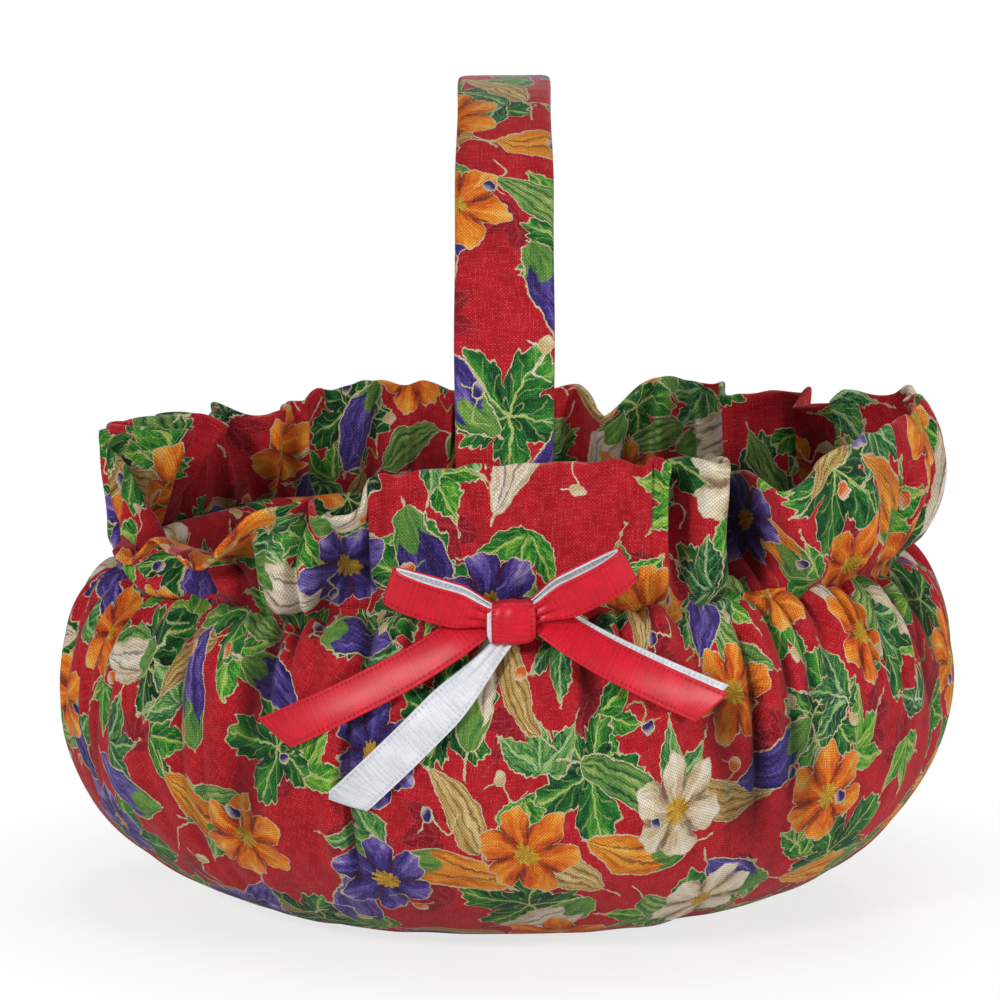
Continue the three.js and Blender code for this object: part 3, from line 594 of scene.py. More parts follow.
def leaf_sprays(paint, ground, place, here, tone, kind, ink, vein_shade, outline=CREAM):
    """Three slender leaves that spread from one stem."""
    _, _, away, angle = round_parts(paint, place)
    step = math.radians(50)
    number = (angle / step).maths("ROUND").maths("MINIMUM", 1).maths("MAXIMUM", -1)
    turned = angle - number * step
    along = turned.maths("COSINE") * away
    lean = turned.maths("SINE") * away + along * along * 0.16
    side = abs(lean)
    held = along.maths("MAXIMUM", 0.0).maths("MINIMUM", 1.0)
    width = (held ** 0.85 * math.pi).maths("SINE") * 0.25 + (along * 40).maths("SINE") * 0.014
    inside = width - side
    brush = strokes(paint, lean * 13, along * 2.2 + number * 3, kind)
    light = brush * 1.3 - 0.36 + tone * 0.25 + along * 0.12 + (lean > 0) * 0.14
    shade = paint.ramp(light, ink)
    vein = side.rise(0.035, 0.012) * along.rise(0.05, 0.12)
    ribs = (along * 30 - side * 40).maths("SINE").rise(0.8, 1.0) * inside.rise(0.02, 0.07) * 0.45
    shade = paint.mix(vein.maths("MAXIMUM", ribs) * 0.85, shade, vein_shade)
    return laid(paint, ground, inside, shade, here, outline)


def blossoms(paint, ground, place, here, tone, kind):
    """Open flowers with six petals and a yellow heart."""
    _, _, away, angle = round_parts(paint, place)
    petal = abs((angle * 3).maths("COSINE"))
    between = abs((angle * 3).maths("SINE"))
    frill = (angle * 19 + kind * 9).maths("SINE") * 0.022 + (angle * 7 + tone * 9).maths("SINE") * 0.05
    edge = 0.54 + petal ** 0.6 * 0.38 + frill
    inside = edge - away
    brush = strokes(paint, angle * 3.6, away * 1.4, kind, 1.7)
    light = brush * 1.2 - 0.18 + away * 0.4 - between * 0.3 + tone * 0.1
    shade = inked(paint, light, kind, ORANGE_PETAL, (0.5, VIOLET_PETAL), (0.86, CREAM_PETAL))
    fold = between.rise(0.88, 1.0) * away.rise(0.2, 0.4)
    shade = paint.mix(fold * 0.65, shade, colour("4A1220"))
    heart = (away + (angle * 11).maths("SINE") * 0.03).rise(0.23, 0.2)
    shade = paint.mix(heart, shade, paint.ramp(brush, YELLOW_HEART))
    return laid(paint, ground, inside, shade, here)


def buds(paint, ground, place, here, tone, kind):
    """Closed flowers: a drop with folded petals, held by green sepals."""
    x, y, _ = paint.split(place)
    bent = y - x * x * 0.12
    from_stem = (x * 0.5 + 0.5).maths("MAXIMUM", 0.0).maths("MINIMUM", 1.0)
    to_tip = 1 - from_stem
    width = from_stem ** 0.6 * to_tip ** 0.75 * 0.92
    across = bent / (width + 0.03)
    inside = width - abs(bent)
    brush = strokes(paint, across * 2.4, x * 0.8, kind, 1.9)
    light = brush * 1.25 - 0.2 + tone * 0.15 - abs(across) * 0.18 + from_stem * 0.15
    shade = inked(paint, light, kind, VIOLET_BUD, (0.42, CREAM_BUD), (0.76, AMBER_BUD))
    petal = abs(abs(across) - 0.36 + x * 0.25).rise(0.09, 0.03) * from_stem.rise(0.25, 0.4)
    shade = paint.mix(petal * 0.6, shade, colour("2A1830"))
    sepal = (from_stem - abs((across * 2.6).maths("COSINE")) * 0.16).rise(0.24, 0.21)
    shade = paint.mix(sepal, shade, paint.ramp(brush, GREEN_SEPAL))
    return laid(paint, ground, inside, shade, here)


def pods(paint, ground, place, here, tone, kind):
    """Bent seed pods with ribs."""
    x, y, _ = paint.split(place)
    bent = y + x * x * 0.2 - 0.06
    held = (1 - x * x).maths("MAXIMUM", 0.0)
    width = held ** 0.6 * (0.36 - x * 0.1)
    inside = (width - abs(bent)).maths("MINIMUM", held * 2)
    across = bent / (width + 0.02)
    rib = abs((across * 6.5).maths("SINE"))
    brush = strokes(paint, across * 3, x * 1.1, kind)
    light = brush * 1.1 - 0.2 + rib * 0.3 + tone * 0.15 - abs(across) * 0.2
    shade = inked(paint, light, kind, OCHRE_POD, (0.6, GREEN_POD))
    shade = paint.mix(rib.rise(0.2, 0.05) * 0.7, shade, colour("3A2412"))
    return laid(paint, ground, inside, shade, here)


def tendrils(paint, ground, place, here, _, kind):
    """Fine curling stems with a small berry at the end."""
    x, y, away, _ = round_parts(paint, place)
    curl = abs(y - (x * 4.5).maths("SINE") * 0.3).rise(0.075, 0.03) * away.rise(1.0, 0.9) * here
    ground = paint.mix(curl, ground, paint.ramp(kind, STEMS))
    lift_x, lift_y = x - 0.5, y - 0.36
    from_middle = (lift_x * lift_x + lift_y * lift_y) ** 0.5
    berry = paint.ramp(kind, BERRIES, "CONSTANT")
    shade = paint.mix((lift_x + lift_y).rise(-0.1, 0.35) * 0.6, berry, colour("F3E6CC"))
    return laid(paint, ground, 0.26 - from_middle, shade, here, line=0.06)


def printed_cotton():
    paint = Finish("printed_cotton")
    flat = paint.node("UVMap", {"uv_map": "cloth"})
    wobble = paint.noise(flat, 75, 4, 0.6, output="Color")
    cloth = paint.vector("MULTIPLY_ADD", wobble, (0.006, 0.006, 0), flat)
    wash = paint.noise(flat, 150, 4, 0.62)
    ground = paint.ramp(wash, RED_GROUND)
    # Layers from the ground up: motif, cell, turn of its net in degrees, seed, reach, share of the cells
    # and, for the sprays, ink, vein and outline
    layers = [
        (leaf_sprays, 0.026, 8, 1, 0.0125, 0.6, (RED_LEAF, RED_VEIN, RED_VEIN)),
        (leaf_sprays, 0.031, 33, 2, 0.0150, 0.68, (GREEN_LEAF, LIME_VEIN)),
        (vine_leaves, 0.044, -21, 3, 0.0205, 0.66, ()),
        (leaf_sprays, 0.036, 71, 4, 0.0160, 0.5, (DEEP_LEAF, MINT_VEIN)),
        (pods, 0.038, 52, 5, 0.0135, 0.42, ()),
        (buds, 0.035, -47, 6, 0.0160, 0.62, ()),
        (blossoms, 0.042, 14, 7, 0.0150, 0.62, ()),
        (tendrils, 0.021, 39, 8, 0.0065, 0.5, ()),
    ]
    for motif, cell, turn, seed, reach, share, inks in layers:
        spot = scattered(paint, cloth, cell, turn, seed, reach, share)
        ground = motif(paint, ground, *spot, *inks)

    # Plain weave: threads that pass over and under, uneven in thickness and dye
    uneven = paint.noise(flat, 260, 2, output="Color")
    drifted = paint.vector("MULTIPLY_ADD", uneven, (0.0006, 0.0006, 0), flat)
    u, v, _ = paint.split(drifted)
    warp = (u * (math.pi / THREAD_PITCH)).maths("SINE")
    weft = (v * (math.pi / THREAD_PITCH)).maths("SINE")
    over = warp * weft * 0.5 + 0.5
    relief = abs(weft) * over + abs(warp) * (1 - over)
    slub_across = paint.noise(paint.join(u * 260, v * 2000), 1.0, 1)
    slub_along = paint.noise(paint.join(u * 2000, v * 260), 1.0, 1)
    thread = slub_across * over + slub_along * (1 - over)
    dyed = paint.mix(0.6, ground, paint.ramp(thread, even_stops("000000", "FFFFFF")), "SOFT_LIGHT")
    gaps = paint.ramp(relief, [(0.1, colour("5A5054")), (0.5, colour("F0ECEA")), (1, colour("FFFFFF"))])
    checks = paint.ramp(over, [(0.2, colour("5E5256")), (0.8, colour("FFFFFF"))])
    woven = paint.mix(0.45, paint.mix(0.55, dyed, gaps, "MULTIPLY"), checks, "MULTIPLY")
    # Paler on the raised crests of the threads
    pale_crests = paint.mix(relief.rise(0.7, 1.0) * thread.rise(0.45, 0.75) * 0.11, woven, colour("F2E8DC"))
    fold_edge = paint.node("Attribute", {"attribute_name": "fold_edge"}, None, "Fac")
    worn = paint.mix(fold_edge * wash.rise(0.45, 0.65) * 0.14, pale_crests, colour("D8CBA8"))
    # Painted shade: the cotton goes darker where each piece's value says, in the hollows of its folds, low on
    # the ruffle and on its inside
    kept_dye = paint.node("Attribute", {"attribute_name": "kept_dye"}, None, "Fac")
    deep = paint.mix(kept_dye * 0.72, worn, colour("40282E"), "MULTIPLY")
    weave = paint.bump(relief + thread * 0.6, 0.12 * MM, 0.6)
    soft = paint.bump(wash, 0.2 * MM, 0.3, weave)
    return paint.close(
        Base_Color=deep, Roughness=thread * 0.12 + 0.8, Normal=soft, Specular_IOR_Level=0.12,
        Sheen_Weight=0.06, Sheen_Roughness=0.5,
    )


def satin(name, dot, main, light):
    """Ribbon satin: fine slanted lines, a dotted line near each edge and a soft shine.

    u runs along the ribbon, v across.
    """
    paint = Finish(name)
    flat = paint.node("UVMap", {"uv_map": "cloth"})
    u, v, _ = paint.split(flat)
    lines = ((u + v * 0.6) * (2 * math.pi / SATIN_PITCH)).maths("SINE")
    slub = paint.noise(paint.join(u * 1600, v * 90), 1.0, 2)
    cloud = paint.noise(flat, 140, 2)
    from_edge = RIBBON_WIDTH / 2 - abs(v)
    selvage = from_edge.rise(0.6 * MM, 0.4 * MM)
    band = from_edge.rise(0.5 * MM, 0.7 * MM) * from_edge.rise(1.4 * MM, 1.15 * MM)
    dots = (u * (2 * math.pi / DOT_PITCH)).maths("SINE").rise(-0.2, 0.6) * band
    speck = paint.noise(flat, 2600, 1)
    tone = slub * 0.35 + cloud * 0.3 + speck * 0.35 + lines * 0.04
    shade = paint.ramp(tone, [(0.38, colour(main)), (0.64, colour(light))])
    shade = paint.mix(dots * 0.6, shade, colour(dot))
    shade = paint.mix(selvage * 0.5, shade, colour(light))
    relief = paint.bump(lines * 0.12 + slub * 0.2 - dots * 1.6 + selvage * 0.6, 0.08 * MM, 0.7)
    return paint.close(
        Base_Color=shade, Roughness=slub * 0.1 + 0.27 + band * 0.2, Normal=relief, Specular_IOR_Level=0.24,
    )


def speckled(name, texts, scale, roughness, grain, metal=0.0):
    """A plain solid's finish on its own coordinates: uneven colour, uneven gloss and a fine relief."""
    paint = Finish(name)
    place = paint.node("TexCoord", None, None, "Object")
    broad = paint.noise(place, scale, 4, 0.6, flat=False)
    fine = paint.noise(place, scale * 9, 3, 0.6, flat=False)
    shade = paint.ramp(broad * 0.6 + fine * 0.4, even_stops(*texts))
    relief = paint.bump(fine, grain, 0.6)
    return paint.close(
        Base_Color=shade, Roughness=fine * 0.2 + (roughness - 0.1), Metallic=metal, Normal=relief
    )


# Cover


def body_profile():
    """Radius and height from the middle of the underside over the belly to the neck, at even steps."""
    turn = np.linspace(0, np.pi / 2, 400)
    foot = joined(np.linspace(0, FOOT_RADIUS, 60, endpoint=False), 0.0)
    belly_out = np.sin(turn) ** (2 / BELLY_FULLNESS)
    belly_up = 1 - np.cos(turn) ** (2 / BELLY_FULLNESS)
    belly = joined(FOOT_RADIUS + (BELT_RADIUS - FOOT_RADIUS) * belly_out, BELT_HEIGHT * belly_up)
    shoulder_out = np.cos(turn) ** (2 / SHOULDER_FULLNESS)
    shoulder_up = np.sin(turn) ** (2 / SHOULDER_FULLNESS)
    shoulder_radius = NECK_RADIUS + (BELT_RADIUS - NECK_RADIUS) * shoulder_out
    rise = NECK_HEIGHT - BELT_HEIGHT
    shoulder = joined(shoulder_radius, BELT_HEIGHT + rise * shoulder_up)
    line = np.concatenate([foot, belly, shoulder[1:]])
    line = np.concatenate([line, line[-1:] + [(-FIT / 2, SEAM_TUCK * 0.3), (-FIT / 2, SEAM_TUCK)]])
    length = run_along(line)
    even = np.linspace(0, length[-1], COVER_ROWS)
    radius = np.interp(even, length, line[:, 0])
    height = np.interp(even, length, line[:, 1])
    way = unit(joined(np.gradient(radius), np.gradient(height)))
    return even, radius, height, way


def tilted(points):
    """The body's sag to the left, which grows from the underside to the belt."""
    share = smooth(0.0, BELT_HEIGHT, points[..., 2])
    points = points.copy()
    points[..., 2] += SIDE_TILT * points[..., 0] * share
    return points


def tuck_relief(angle, distance):
    """Long tucks: a sharp crease with the cotton standing up along one side of it."""
    relief = np.zeros(np.broadcast(angle, distance).shape)
    for number, (place, top, length, depth) in enumerate(TUCKS):
        slant = 0.10 * math.sin(number * 2.4)
        middle = math.radians(place) + slant * (distance - (top + length / 2) * MM) / NECK_RADIUS
        side = 1 if number % 2 else -1
        across = side * (np.mod(angle - middle + np.pi, 2 * np.pi) - np.pi) * BELT_RADIUS / TUCK_WIDTH
        along = smooth(top * MM, (top + 14) * MM, distance)
        along = along * (1 - smooth((top + length - 30) * MM, (top + length) * MM, distance))
        crease = np.exp(-1.6 * np.abs(across) ** 1.2)
        ridge = np.exp(-(((across - 1.5) / 1.3) ** 2))
        relief += depth * MM * along * (0.5 * ridge - 0.8 * crease)
    return relief


def make_cover(finish):
    even, radius, height, way = body_profile()
    angle, closed_angle = round_angles(COVER_COLUMNS)
    length = even[-1]
    distance = (length - even)[:, None]
    on_side = smooth(*COVER_SIDE, even)[:, None]
    lift = gather_relief(angle, distance) + tuck_relief(angle, distance) * on_side
    for high, seed, most_turns, pitch in COVER_RUMPLES:
        lift = lift + on_side * high * MM * rumple(angle, distance, seed, most_turns, pitch)
    out = joined(way[:, 1], -way[:, 0])
    points = polar(radius[:, None] + out[:, :1] * lift, angle, height[:, None] + out[:, 1:] * lift)
    points = tilted(points)
    cloth = polar(even[:, None], closed_angle, 0.0)[..., :2]
    part = patch(points, cloth, ring=True)
    bake = 0.5 + part[2] / (COVER_BAKE * length)
    made = piece("cotton_cover", [part], finish, ["cover"], bake)
    # Painted shade in the hollows of the gathers and tucks
    set_point_value(made, "kept_dye", smooth(*COVER_SHADE_DEPTH, -lift))
    flat, area = (2 * length, 2 * length), math.pi * length ** 2


# Ruffle


def fold_value(angle, column):
    """Smooth value of one column of the folds at angles in degrees: level at a crest or hollow."""
    places = np.array([fold[0] for fold in RUFFLE_FOLDS], dtype=float)
    values = np.array([fold[column] for fold in RUFFLE_FOLDS], dtype=float)
    places = np.concatenate([places[-2:] - 360, places, places[:3] + 360])
    values = np.concatenate([values[-2:], values, values[:3]])
    steps = np.diff(values) / np.diff(places)
    slopes = np.zeros_like(values)
    before, after = steps[:-1], steps[1:]
    keeps_on = before * after > 0
    slopes[1:-1] = np.where(keeps_on, 2 * before * after / np.where(keeps_on, before + after, 1), 0)
    start = RUFFLE_FOLDS[0][0]
    inside = np.mod(angle - start, 360) + start
    index = np.clip(np.searchsorted(places, inside, side="right") - 1, 1, len(places) - 3)
    span = places[index + 1] - places[index]
    on = (inside - places[index]) / span
    rise = 3 * on ** 2 - 2 * on ** 3
    value = values[index] * (1 - rise) + values[index + 1] * rise
    lead = slopes[index] * (on - 2 * on ** 2 + on ** 3)
    return value + span * (lead + slopes[index + 1] * (on ** 3 - on ** 2))


def pleat_relief(angle, share, curl):
    """Upright folds of the ruffle, faint on the flat panel at the front and where the ruffle curls over."""
    sway = angle + 0.05 * share * drift(angle, 46, 3, 12)
    crest = np.sqrt(0.5 + 0.5 * np.cos(PLEAT_COUNT * sway + 1.6 * drift(sway, 47, 2, 18)))
    from_panel = apart(np.degrees(angle))
    depth = PLEAT_DEPTH * np.clip(1 + 0.4 * drift(angle, 48, 4, 24), 0.3, 1.7)
    depth = depth * (0.08 + 0.92 * smooth(14, 24, from_panel)) * (1 - 0.4 * smooth(15, 60, np.abs(curl)))
    rise = smooth(0.02, 0.25, share) * (1 - 0.45 * smooth(0.55, 1, share))
    return depth * rise * (crest - 0.62)


def puff_shape(place, share):
    """How far the plump lobes swell out and droop at angles in degrees and shares of the ruffle's height."""
    swell = np.zeros(np.broadcast(place, share).shape)
    droop = np.zeros_like(swell)
    for middle, half_width, out, down in PUFFS:
        across = apart(place, middle) / half_width
        lobe = np.sqrt(np.clip(1 - across ** 2, 0, 1))
        swell = np.maximum(swell, out * lobe * np.sin(np.pi * np.clip(share / 0.85, 0, 1)))
        droop = np.maximum(droop, down * lobe * np.exp(-(((share - 0.25) / 0.18) ** 2)))
    return swell, droop


def ruffle_middle(angle, share):
    """The middle of the ruffle's doubled cloth at angles in radians and shares of its height."""
    place = np.degrees(angle)
    lean, curl = np.radians(fold_value(place, 1)), np.radians(fold_value(place, 2))
    swing = np.radians(fold_value(place, 3)) * share
    tall = RUFFLE_HEIGHT * fold_value(place, 4) * share
    half_turn = curl * share / 2
    chord = tall * np.sinc(half_turn / np.pi)
    heading = lean + half_turn
    from_panel = apart(place)
    flat_panel = (1 - smooth(12, 20, from_panel)) * smooth(0.1, 0.4, share)
    waist = gather_relief(angle, share * RUFFLE_HEIGHT, 0.62) * 0.9 * (1 - 0.8 * flat_panel)
    waist = waist * smooth(0.02, 0.2, share) + SEAM_OUT
    loose = smooth(0.15, 0.7, share)
    softness = 0.0
    for high, seed, most_turns, pitch in RUFFLE_RUMPLES:
        wave = rumple(angle, share * RUFFLE_HEIGHT, seed, most_turns, pitch)
        softness = softness + loose * high * MM * wave
    softness = softness + pleat_relief(angle, share, fold_value(place, 2))
    edge_wave = smooth(0.5, 1.0, share) * 0.8 * MM * drift(angle, 43, 20, 60) * (1 - 0.7 * flat_panel)
    facing = lean + curl * share
    radius = NECK_RADIUS + chord * np.sin(heading) + waist + softness * np.cos(facing)
    height = RUFFLE_BOTTOM + chord * np.cos(heading) + edge_wave - softness * np.sin(facing)
    height = height - SEAM_DROP * (1 - smooth(0, 0.1, share))
    swell, droop = puff_shape(place, share)
    return polar(radius + swell, angle + swing, height - droop)


def ruffle_painted_shade(middle, angle, share):
    """How strong the painted shade is on the outside and inside: in hollows, in the gaps between the lobes
    and low down.
    """
    radius = np.hypot(middle[..., 0], middle[..., 1])
    steps = range(-SHADE_REACH, SHADE_REACH + 1)
    around = sum(np.roll(radius, step, axis=1) for step in steps) / len(steps)
    less_above = 1 - 0.5 * smooth(0.5, 1.0, share)
    hollow = smooth(*RUFFLE_SHADE_DEPTH, around - radius) * less_above
    foot = 0.55 * (1 - smooth(0.02, 0.22, share))
    place = np.mod(np.degrees(angle), 360)
    swell = puff_shape(place, share)[0]
    first_puff = PUFFS[0][0]
    by_puffs = smooth(first_puff, first_puff + 5, place) * (1 - smooth(*SHADE_GAP_END, place))
    gap = 0.9 * by_puffs * (1 - smooth(0.5 * MM, 4 * MM, swell)) * (1 - smooth(0.6, 0.95, share))
    behind = smooth(*RUFFLE_SHADE_DEPTH, radius - around) * less_above
    low = 0.8 * (1 - smooth(0.2, 0.85, share))
    return np.maximum(np.maximum(hollow, gap), foot), np.maximum(behind, low)


def make_ruffle(finish):
    angle = np.linspace(-np.pi, np.pi, RUFFLE_COLUMNS, endpoint=False)[None, :]
    share = np.linspace(0, 1, RUFFLE_ROWS)[:, None]
    middle = ruffle_middle(angle, share)
    along = np.roll(middle, -1, axis=1) - np.roll(middle, 1, axis=1)
    up = np.gradient(middle, axis=0)
    out = unit(np.cross(along, up))
    hem = smooth(0.86, 0.97, share) * (1 - 0.25 * smooth(0.985, 1.0, share))
    half = PLY_HALF + (HEM_HALF - PLY_HALF) * hem
    puff = smooth(0.05, 0.4, share) * 0.35 * MM
    outer, inner = [
        middle + side * out * (half + puff * rumple(angle, share * RUFFLE_HEIGHT, seed, 90, 0.03))[..., None]
        for side, seed in ((1, 44), (-1, 45))
    ]
    top_out = unit(outer[-1] - inner[-1])
    top_half = np.linalg.norm(outer[-1] - inner[-1], axis=-1, keepdims=True) / 2
    top_middle = (outer[-1] + inner[-1]) / 2
    top_up = unit(up[-1])
    turns = np.linspace(0, np.pi, HEM_STEPS + 1)[1:-1]
    edge = [top_middle + top_half * (top_out * math.cos(turn) + top_up * math.sin(turn)) for turn in turns]
    rows = tilted(np.concatenate([outer, np.stack(edge), inner[::-1]]))
    run = np.linalg.norm(np.diff(rows, axis=0), axis=-1).mean(axis=1)
    up_cloth = np.concatenate([[0], np.cumsum(run)])
    level = middle[RUFFLE_ROWS * 2 // 3]
    round_run = np.linalg.norm(np.roll(level, -1, axis=0) - level, axis=-1)
    round_cloth = np.concatenate([[0], np.cumsum(round_run)])
    part = patch(rows, joined(round_cloth[None, :], up_cloth[:, None]) + RUFFLE_CUT, ring=True)
    bake = bands(len(rows) - 1, RUFFLE_COLUMNS, 4)
    made = piece("cotton_ruffle", [part], finish, ["ruffle"], bake)
    from_hem = np.abs(np.arange(len(rows)) - (len(rows) - 1) / 2) - HEM_STEPS / 2
    wear = np.repeat(1 - smooth(-2.5, 0.5, from_hem), RUFFLE_COLUMNS)
    set_point_value(made, "fold_edge", wear)
    # Painted shade on the ruffle's outside and inside, none on the turn of its hem
    shade_outside, shade_inside = ruffle_painted_shade(middle, angle, share)
    bare = np.zeros((HEM_STEPS - 1, RUFFLE_COLUMNS))
    set_point_value(made, "kept_dye", np.concatenate([shade_outside, bare, shade_inside[::-1]]))


# Handle


def make_sleeve(finish):
    thickness = LEG_OUTER - TUB_RADIUS - FIT
    middle_radius = LEG_OUTER - thickness / 2
    leg = ARCH_HEIGHT - sleeve_low.z
    arch = np.pi * middle_radius
    total = 2 * leg + arch
    rows, columns = SLEEVE_ROWS, SLEEVE_COLUMNS
    length = np.linspace(0, total, rows)
    on_arch = np.clip((length - leg) / arch, 0, 1) * np.pi
    below = np.where(length < leg, length - leg, np.where(length > leg + arch, leg + arch - length, 0))
    middle_height = ARCH_HEIGHT + middle_radius * np.sin(on_arch) + below
    middle = joined(0.0, -middle_radius * np.cos(on_arch), middle_height)
    out = joined(0.0, -np.cos(on_arch), np.sin(on_arch))
    turn = np.linspace(0, 2 * np.pi, columns, endpoint=False) + np.pi / columns
    wide, thin = SLEEVE_SQUARENESS
    across = np.sign(np.cos(turn)) * np.abs(np.cos(turn)) ** wide * HANDLE_WIDTH / 2
    through = np.sign(np.sin(turn)) * np.abs(np.sin(turn)) ** thin * thickness / 2
    run = length[:, None]
    inner_face = (np.sin(turn) < -0.2)[None, :]
    wave = 0.30 * MM * rumple(turn[None, :], run, 51, 3, 0.03)
    pucker = np.sin(run / PUCKER_SCALE + 2.2 * np.sin(run / 0.017))
    creases = np.where(inner_face, 0.22, 0.05) * MM * pucker
    relief = wave + creases * smooth(leg, leg + 0.03, run)
    depth = through[None, :] + np.sign(np.sin(turn))[None, :] * relief
    width = across[None, :] * (1 + 0.012 * np.sin(run / 0.021 + 1.0) + 0.010 * np.sin(run / 0.0083))
    points = middle[:, None, :] + out[:, None, :] * depth[..., None]
    points[..., 0] += width
    girth = np.hypot(np.diff(across, append=across[0]), np.diff(through, append=through[0]))
    closed = np.concatenate([[0], np.cumsum(girth)])
    part = patch(points, joined(closed[None, :], run) + SLEEVE_CUT, ring=True)
    bake = bands(rows - 1, columns, 1)[..., ::-1]
    made = piece("cotton_sleeve", [part], finish, ["handle_sleeve"], bake)


# Lining


def make_lining(finish):
    floor, wall = lining_low.z + LINING_LIFT, TUB_RADIUS - TUB_WALL - LINING_GAP
    corner, rim = LINING_CORNER, lining_high.z
    angle, closed_angle = round_angles(LINING_COLUMNS)

    floor_radius = np.linspace(0, wall - corner * 0.6, 40)[:, None]
    past_corner = np.clip(floor_radius - wall + corner, 0, None)
    dip = corner - np.sqrt(np.clip(corner ** 2 - past_corner ** 2, 0, None))
    wave = 0.5 * MM * smooth(0, 0.03, floor_radius) * rumple(angle, floor_radius, 61, 9, 0.05)
    floor_points = polar(floor_radius, angle, floor + dip + wave)
    floor_cloth = polar(floor_radius, closed_angle, 0.0)[..., :2]

    turn = np.linspace(math.asin(0.4), np.pi / 2, 14)
    curve = joined(wall - corner + corner * np.sin(turn), floor + corner - corner * np.cos(turn))
    upright = joined(wall, np.linspace(floor + corner, rim - 3 * MM, 31)[1:])
    over = np.array([
        [wall + 0.5 * MM, rim - 1.2 * MM],
        [wall + 1.8 * MM, rim - 0.2 * MM],
        [wall + 3.4 * MM, rim],
        [TUB_RADIUS + 1.5 * MM, rim - 0.5 * MM],
        [TUB_RADIUS + 3.5 * MM, rim - 1.3 * MM],
        [lining_high.x, casing_high.z + 0.8 * MM],
    ])
    line = np.concatenate([curve, upright, over])
    up = run_along(line)[:, None]
    way = unit(np.gradient(line, axis=0))
    folds = smooth(0.0, 0.03, up) * (1 - smooth(up[-1, 0] - 0.012, up[-1, 0], up))
    lift = LINING_LIFT
    for high, seed, most_turns, pitch in LINING_RUMPLES:
        lift = lift + high * MM * rumple(angle, up, seed, most_turns, pitch)
    lift = folds * np.maximum(lift, 0.1 * MM)
    points = polar(line[:, :1] - way[:, 1:] * lift, angle, line[:, 1:] + way[:, :1] * lift)
    cloth = joined(closed_angle * wall, up) + LINING_CUT
    parts = [patch(floor_points, floor_cloth, ring=True), patch(points, cloth, ring=True)]
    made = piece("cotton_lining", parts, finish, ["lining"])


# Wadding, neck casing and elastic, which the cotton hides


def make_wadding(finish):
    _, radius, height, way = body_profile()
    low, high = WADDING_BOTTOM, casing_low.z - 0.4 * MM
    kept = (height > low) & (height < high)
    outer = joined(radius - way[:, 1] * WADDING_DEPTH, height + way[:, 0] * WADDING_DEPTH)[kept][::3]
    corner, corner_outside = TUB_CORNER, TUB_CORNER + FIT
    turn = np.linspace(0, np.pi / 2, 10)
    tub_out = TUB_RADIUS - corner + corner_outside * np.sin(turn)
    tub_side = joined(tub_out, tub_low.z + corner - corner_outside * np.cos(turn))
    inner = np.concatenate([[[TUB_RADIUS + FIT, high]], tub_side[::-1], [[0, tub_low.z - FIT]]])
    under = [[0, low], [FOOT_RADIUS - WADDING_DEPTH, low]]
    line = np.concatenate([under, outer, [[outer[-1, 0], high]], inner])
    angle, _ = round_angles(WADDING_COLUMNS)
    run = run_along(line)[:, None]
    dents = 0.5 * MM * np.clip(rumple(angle, run, 71, 40, 0.02), 0, None) * (line[:, :1] > 0.03)
    ring_radius = line[:, :1] - dents
    beside_leg = np.abs(np.sin(angle)) * ring_radius < HANDLE_WIDTH / 2 + 1.2 * MM
    pocket = beside_leg & (line[:, 1:] > sleeve_low.z - 1 * MM)
    past_leg = (LEG_OUTER + 2.2 * MM) / np.abs(np.cos(angle))
    ring_radius = np.where(pocket, np.maximum(ring_radius, past_leg), ring_radius)
    points = polar(ring_radius, angle, line[:, 1:])
    cloth = joined(np.linspace(0, 0.7, WADDING_COLUMNS + 1)[None, :], run)
    made = piece("wadding_fill", [patch(points, cloth, ring=True)], finish, ["wadding"])


def ring_band(name, inner, outer, low, high, finish, node, ripple, open_below):
    """A flat band round the neck, folded over above, with small ripples from the gathering."""
    angle, _ = round_angles(BAND_COLUMNS)
    half = (low + high) / 2
    line = np.array(
        [[outer, low], [outer, half], [outer, high], [inner, high], [inner, half], [inner, low]]
    )
    if not open_below:
        line = np.concatenate([line, line[:1]])
    run = run_along(line)[:, None]
    points = polar(line[:, :1] + ripple * np.sin(BAND_RIPPLES * angle), angle, line[:, 1:])
    cloth = joined(np.linspace(0, 2 * np.pi * outer, BAND_COLUMNS + 1)[None, :], run)
    made = piece(name, [patch(points, cloth, ring=True)], finish, [node])
    return made, float(run[-1, 0])


# Bow


def ribbon(name, middle, across, face, width, finish, pleat=0.0, cup=0.0, end_cut=0.0):
    """A satin ribbon through middles with width and face directions. width is a share of the ribbon's."""
    section = np.linspace(-1, 1, RIBBON_COLUMNS)[None, :]
    length = run_along(middle)
    narrow = np.clip(1 - width, 0, 1)[:, None]
    rise = pleat * narrow * np.cos(section * 2.5 * np.pi) + cup * section ** 2 * width[:, None]
    points = (
        middle[:, None, :]
        + across[:, None, :] * (section * width[:, None] * RIBBON_WIDTH / 2)[..., None]
        + face[:, None, :] * rise[..., None]
    )
    heading = unit(np.gradient(middle, axis=0))
    near_end = smooth(0.8, 1.0, length / length[-1])[:, None]
    points = points + heading[:, None, :] * (section * near_end * end_cut)[..., None]
    cloth = joined(length[:, None], section * RIBBON_WIDTH / 2)
    made = piece("satin_" + name, [patch(points, cloth)], finish, [name])
    thick = made.modifiers.new("thickness", "SOLIDIFY")
    thick.thickness = RIBBON_THICKNESS
    thick.offset = 0


def turned_about(vector, axis, angle):
    along = axis * axis.dot(vector) * (1 - math.cos(angle))
    return vector * math.cos(angle) + np.cross(axis, vector) * math.sin(angle) + along


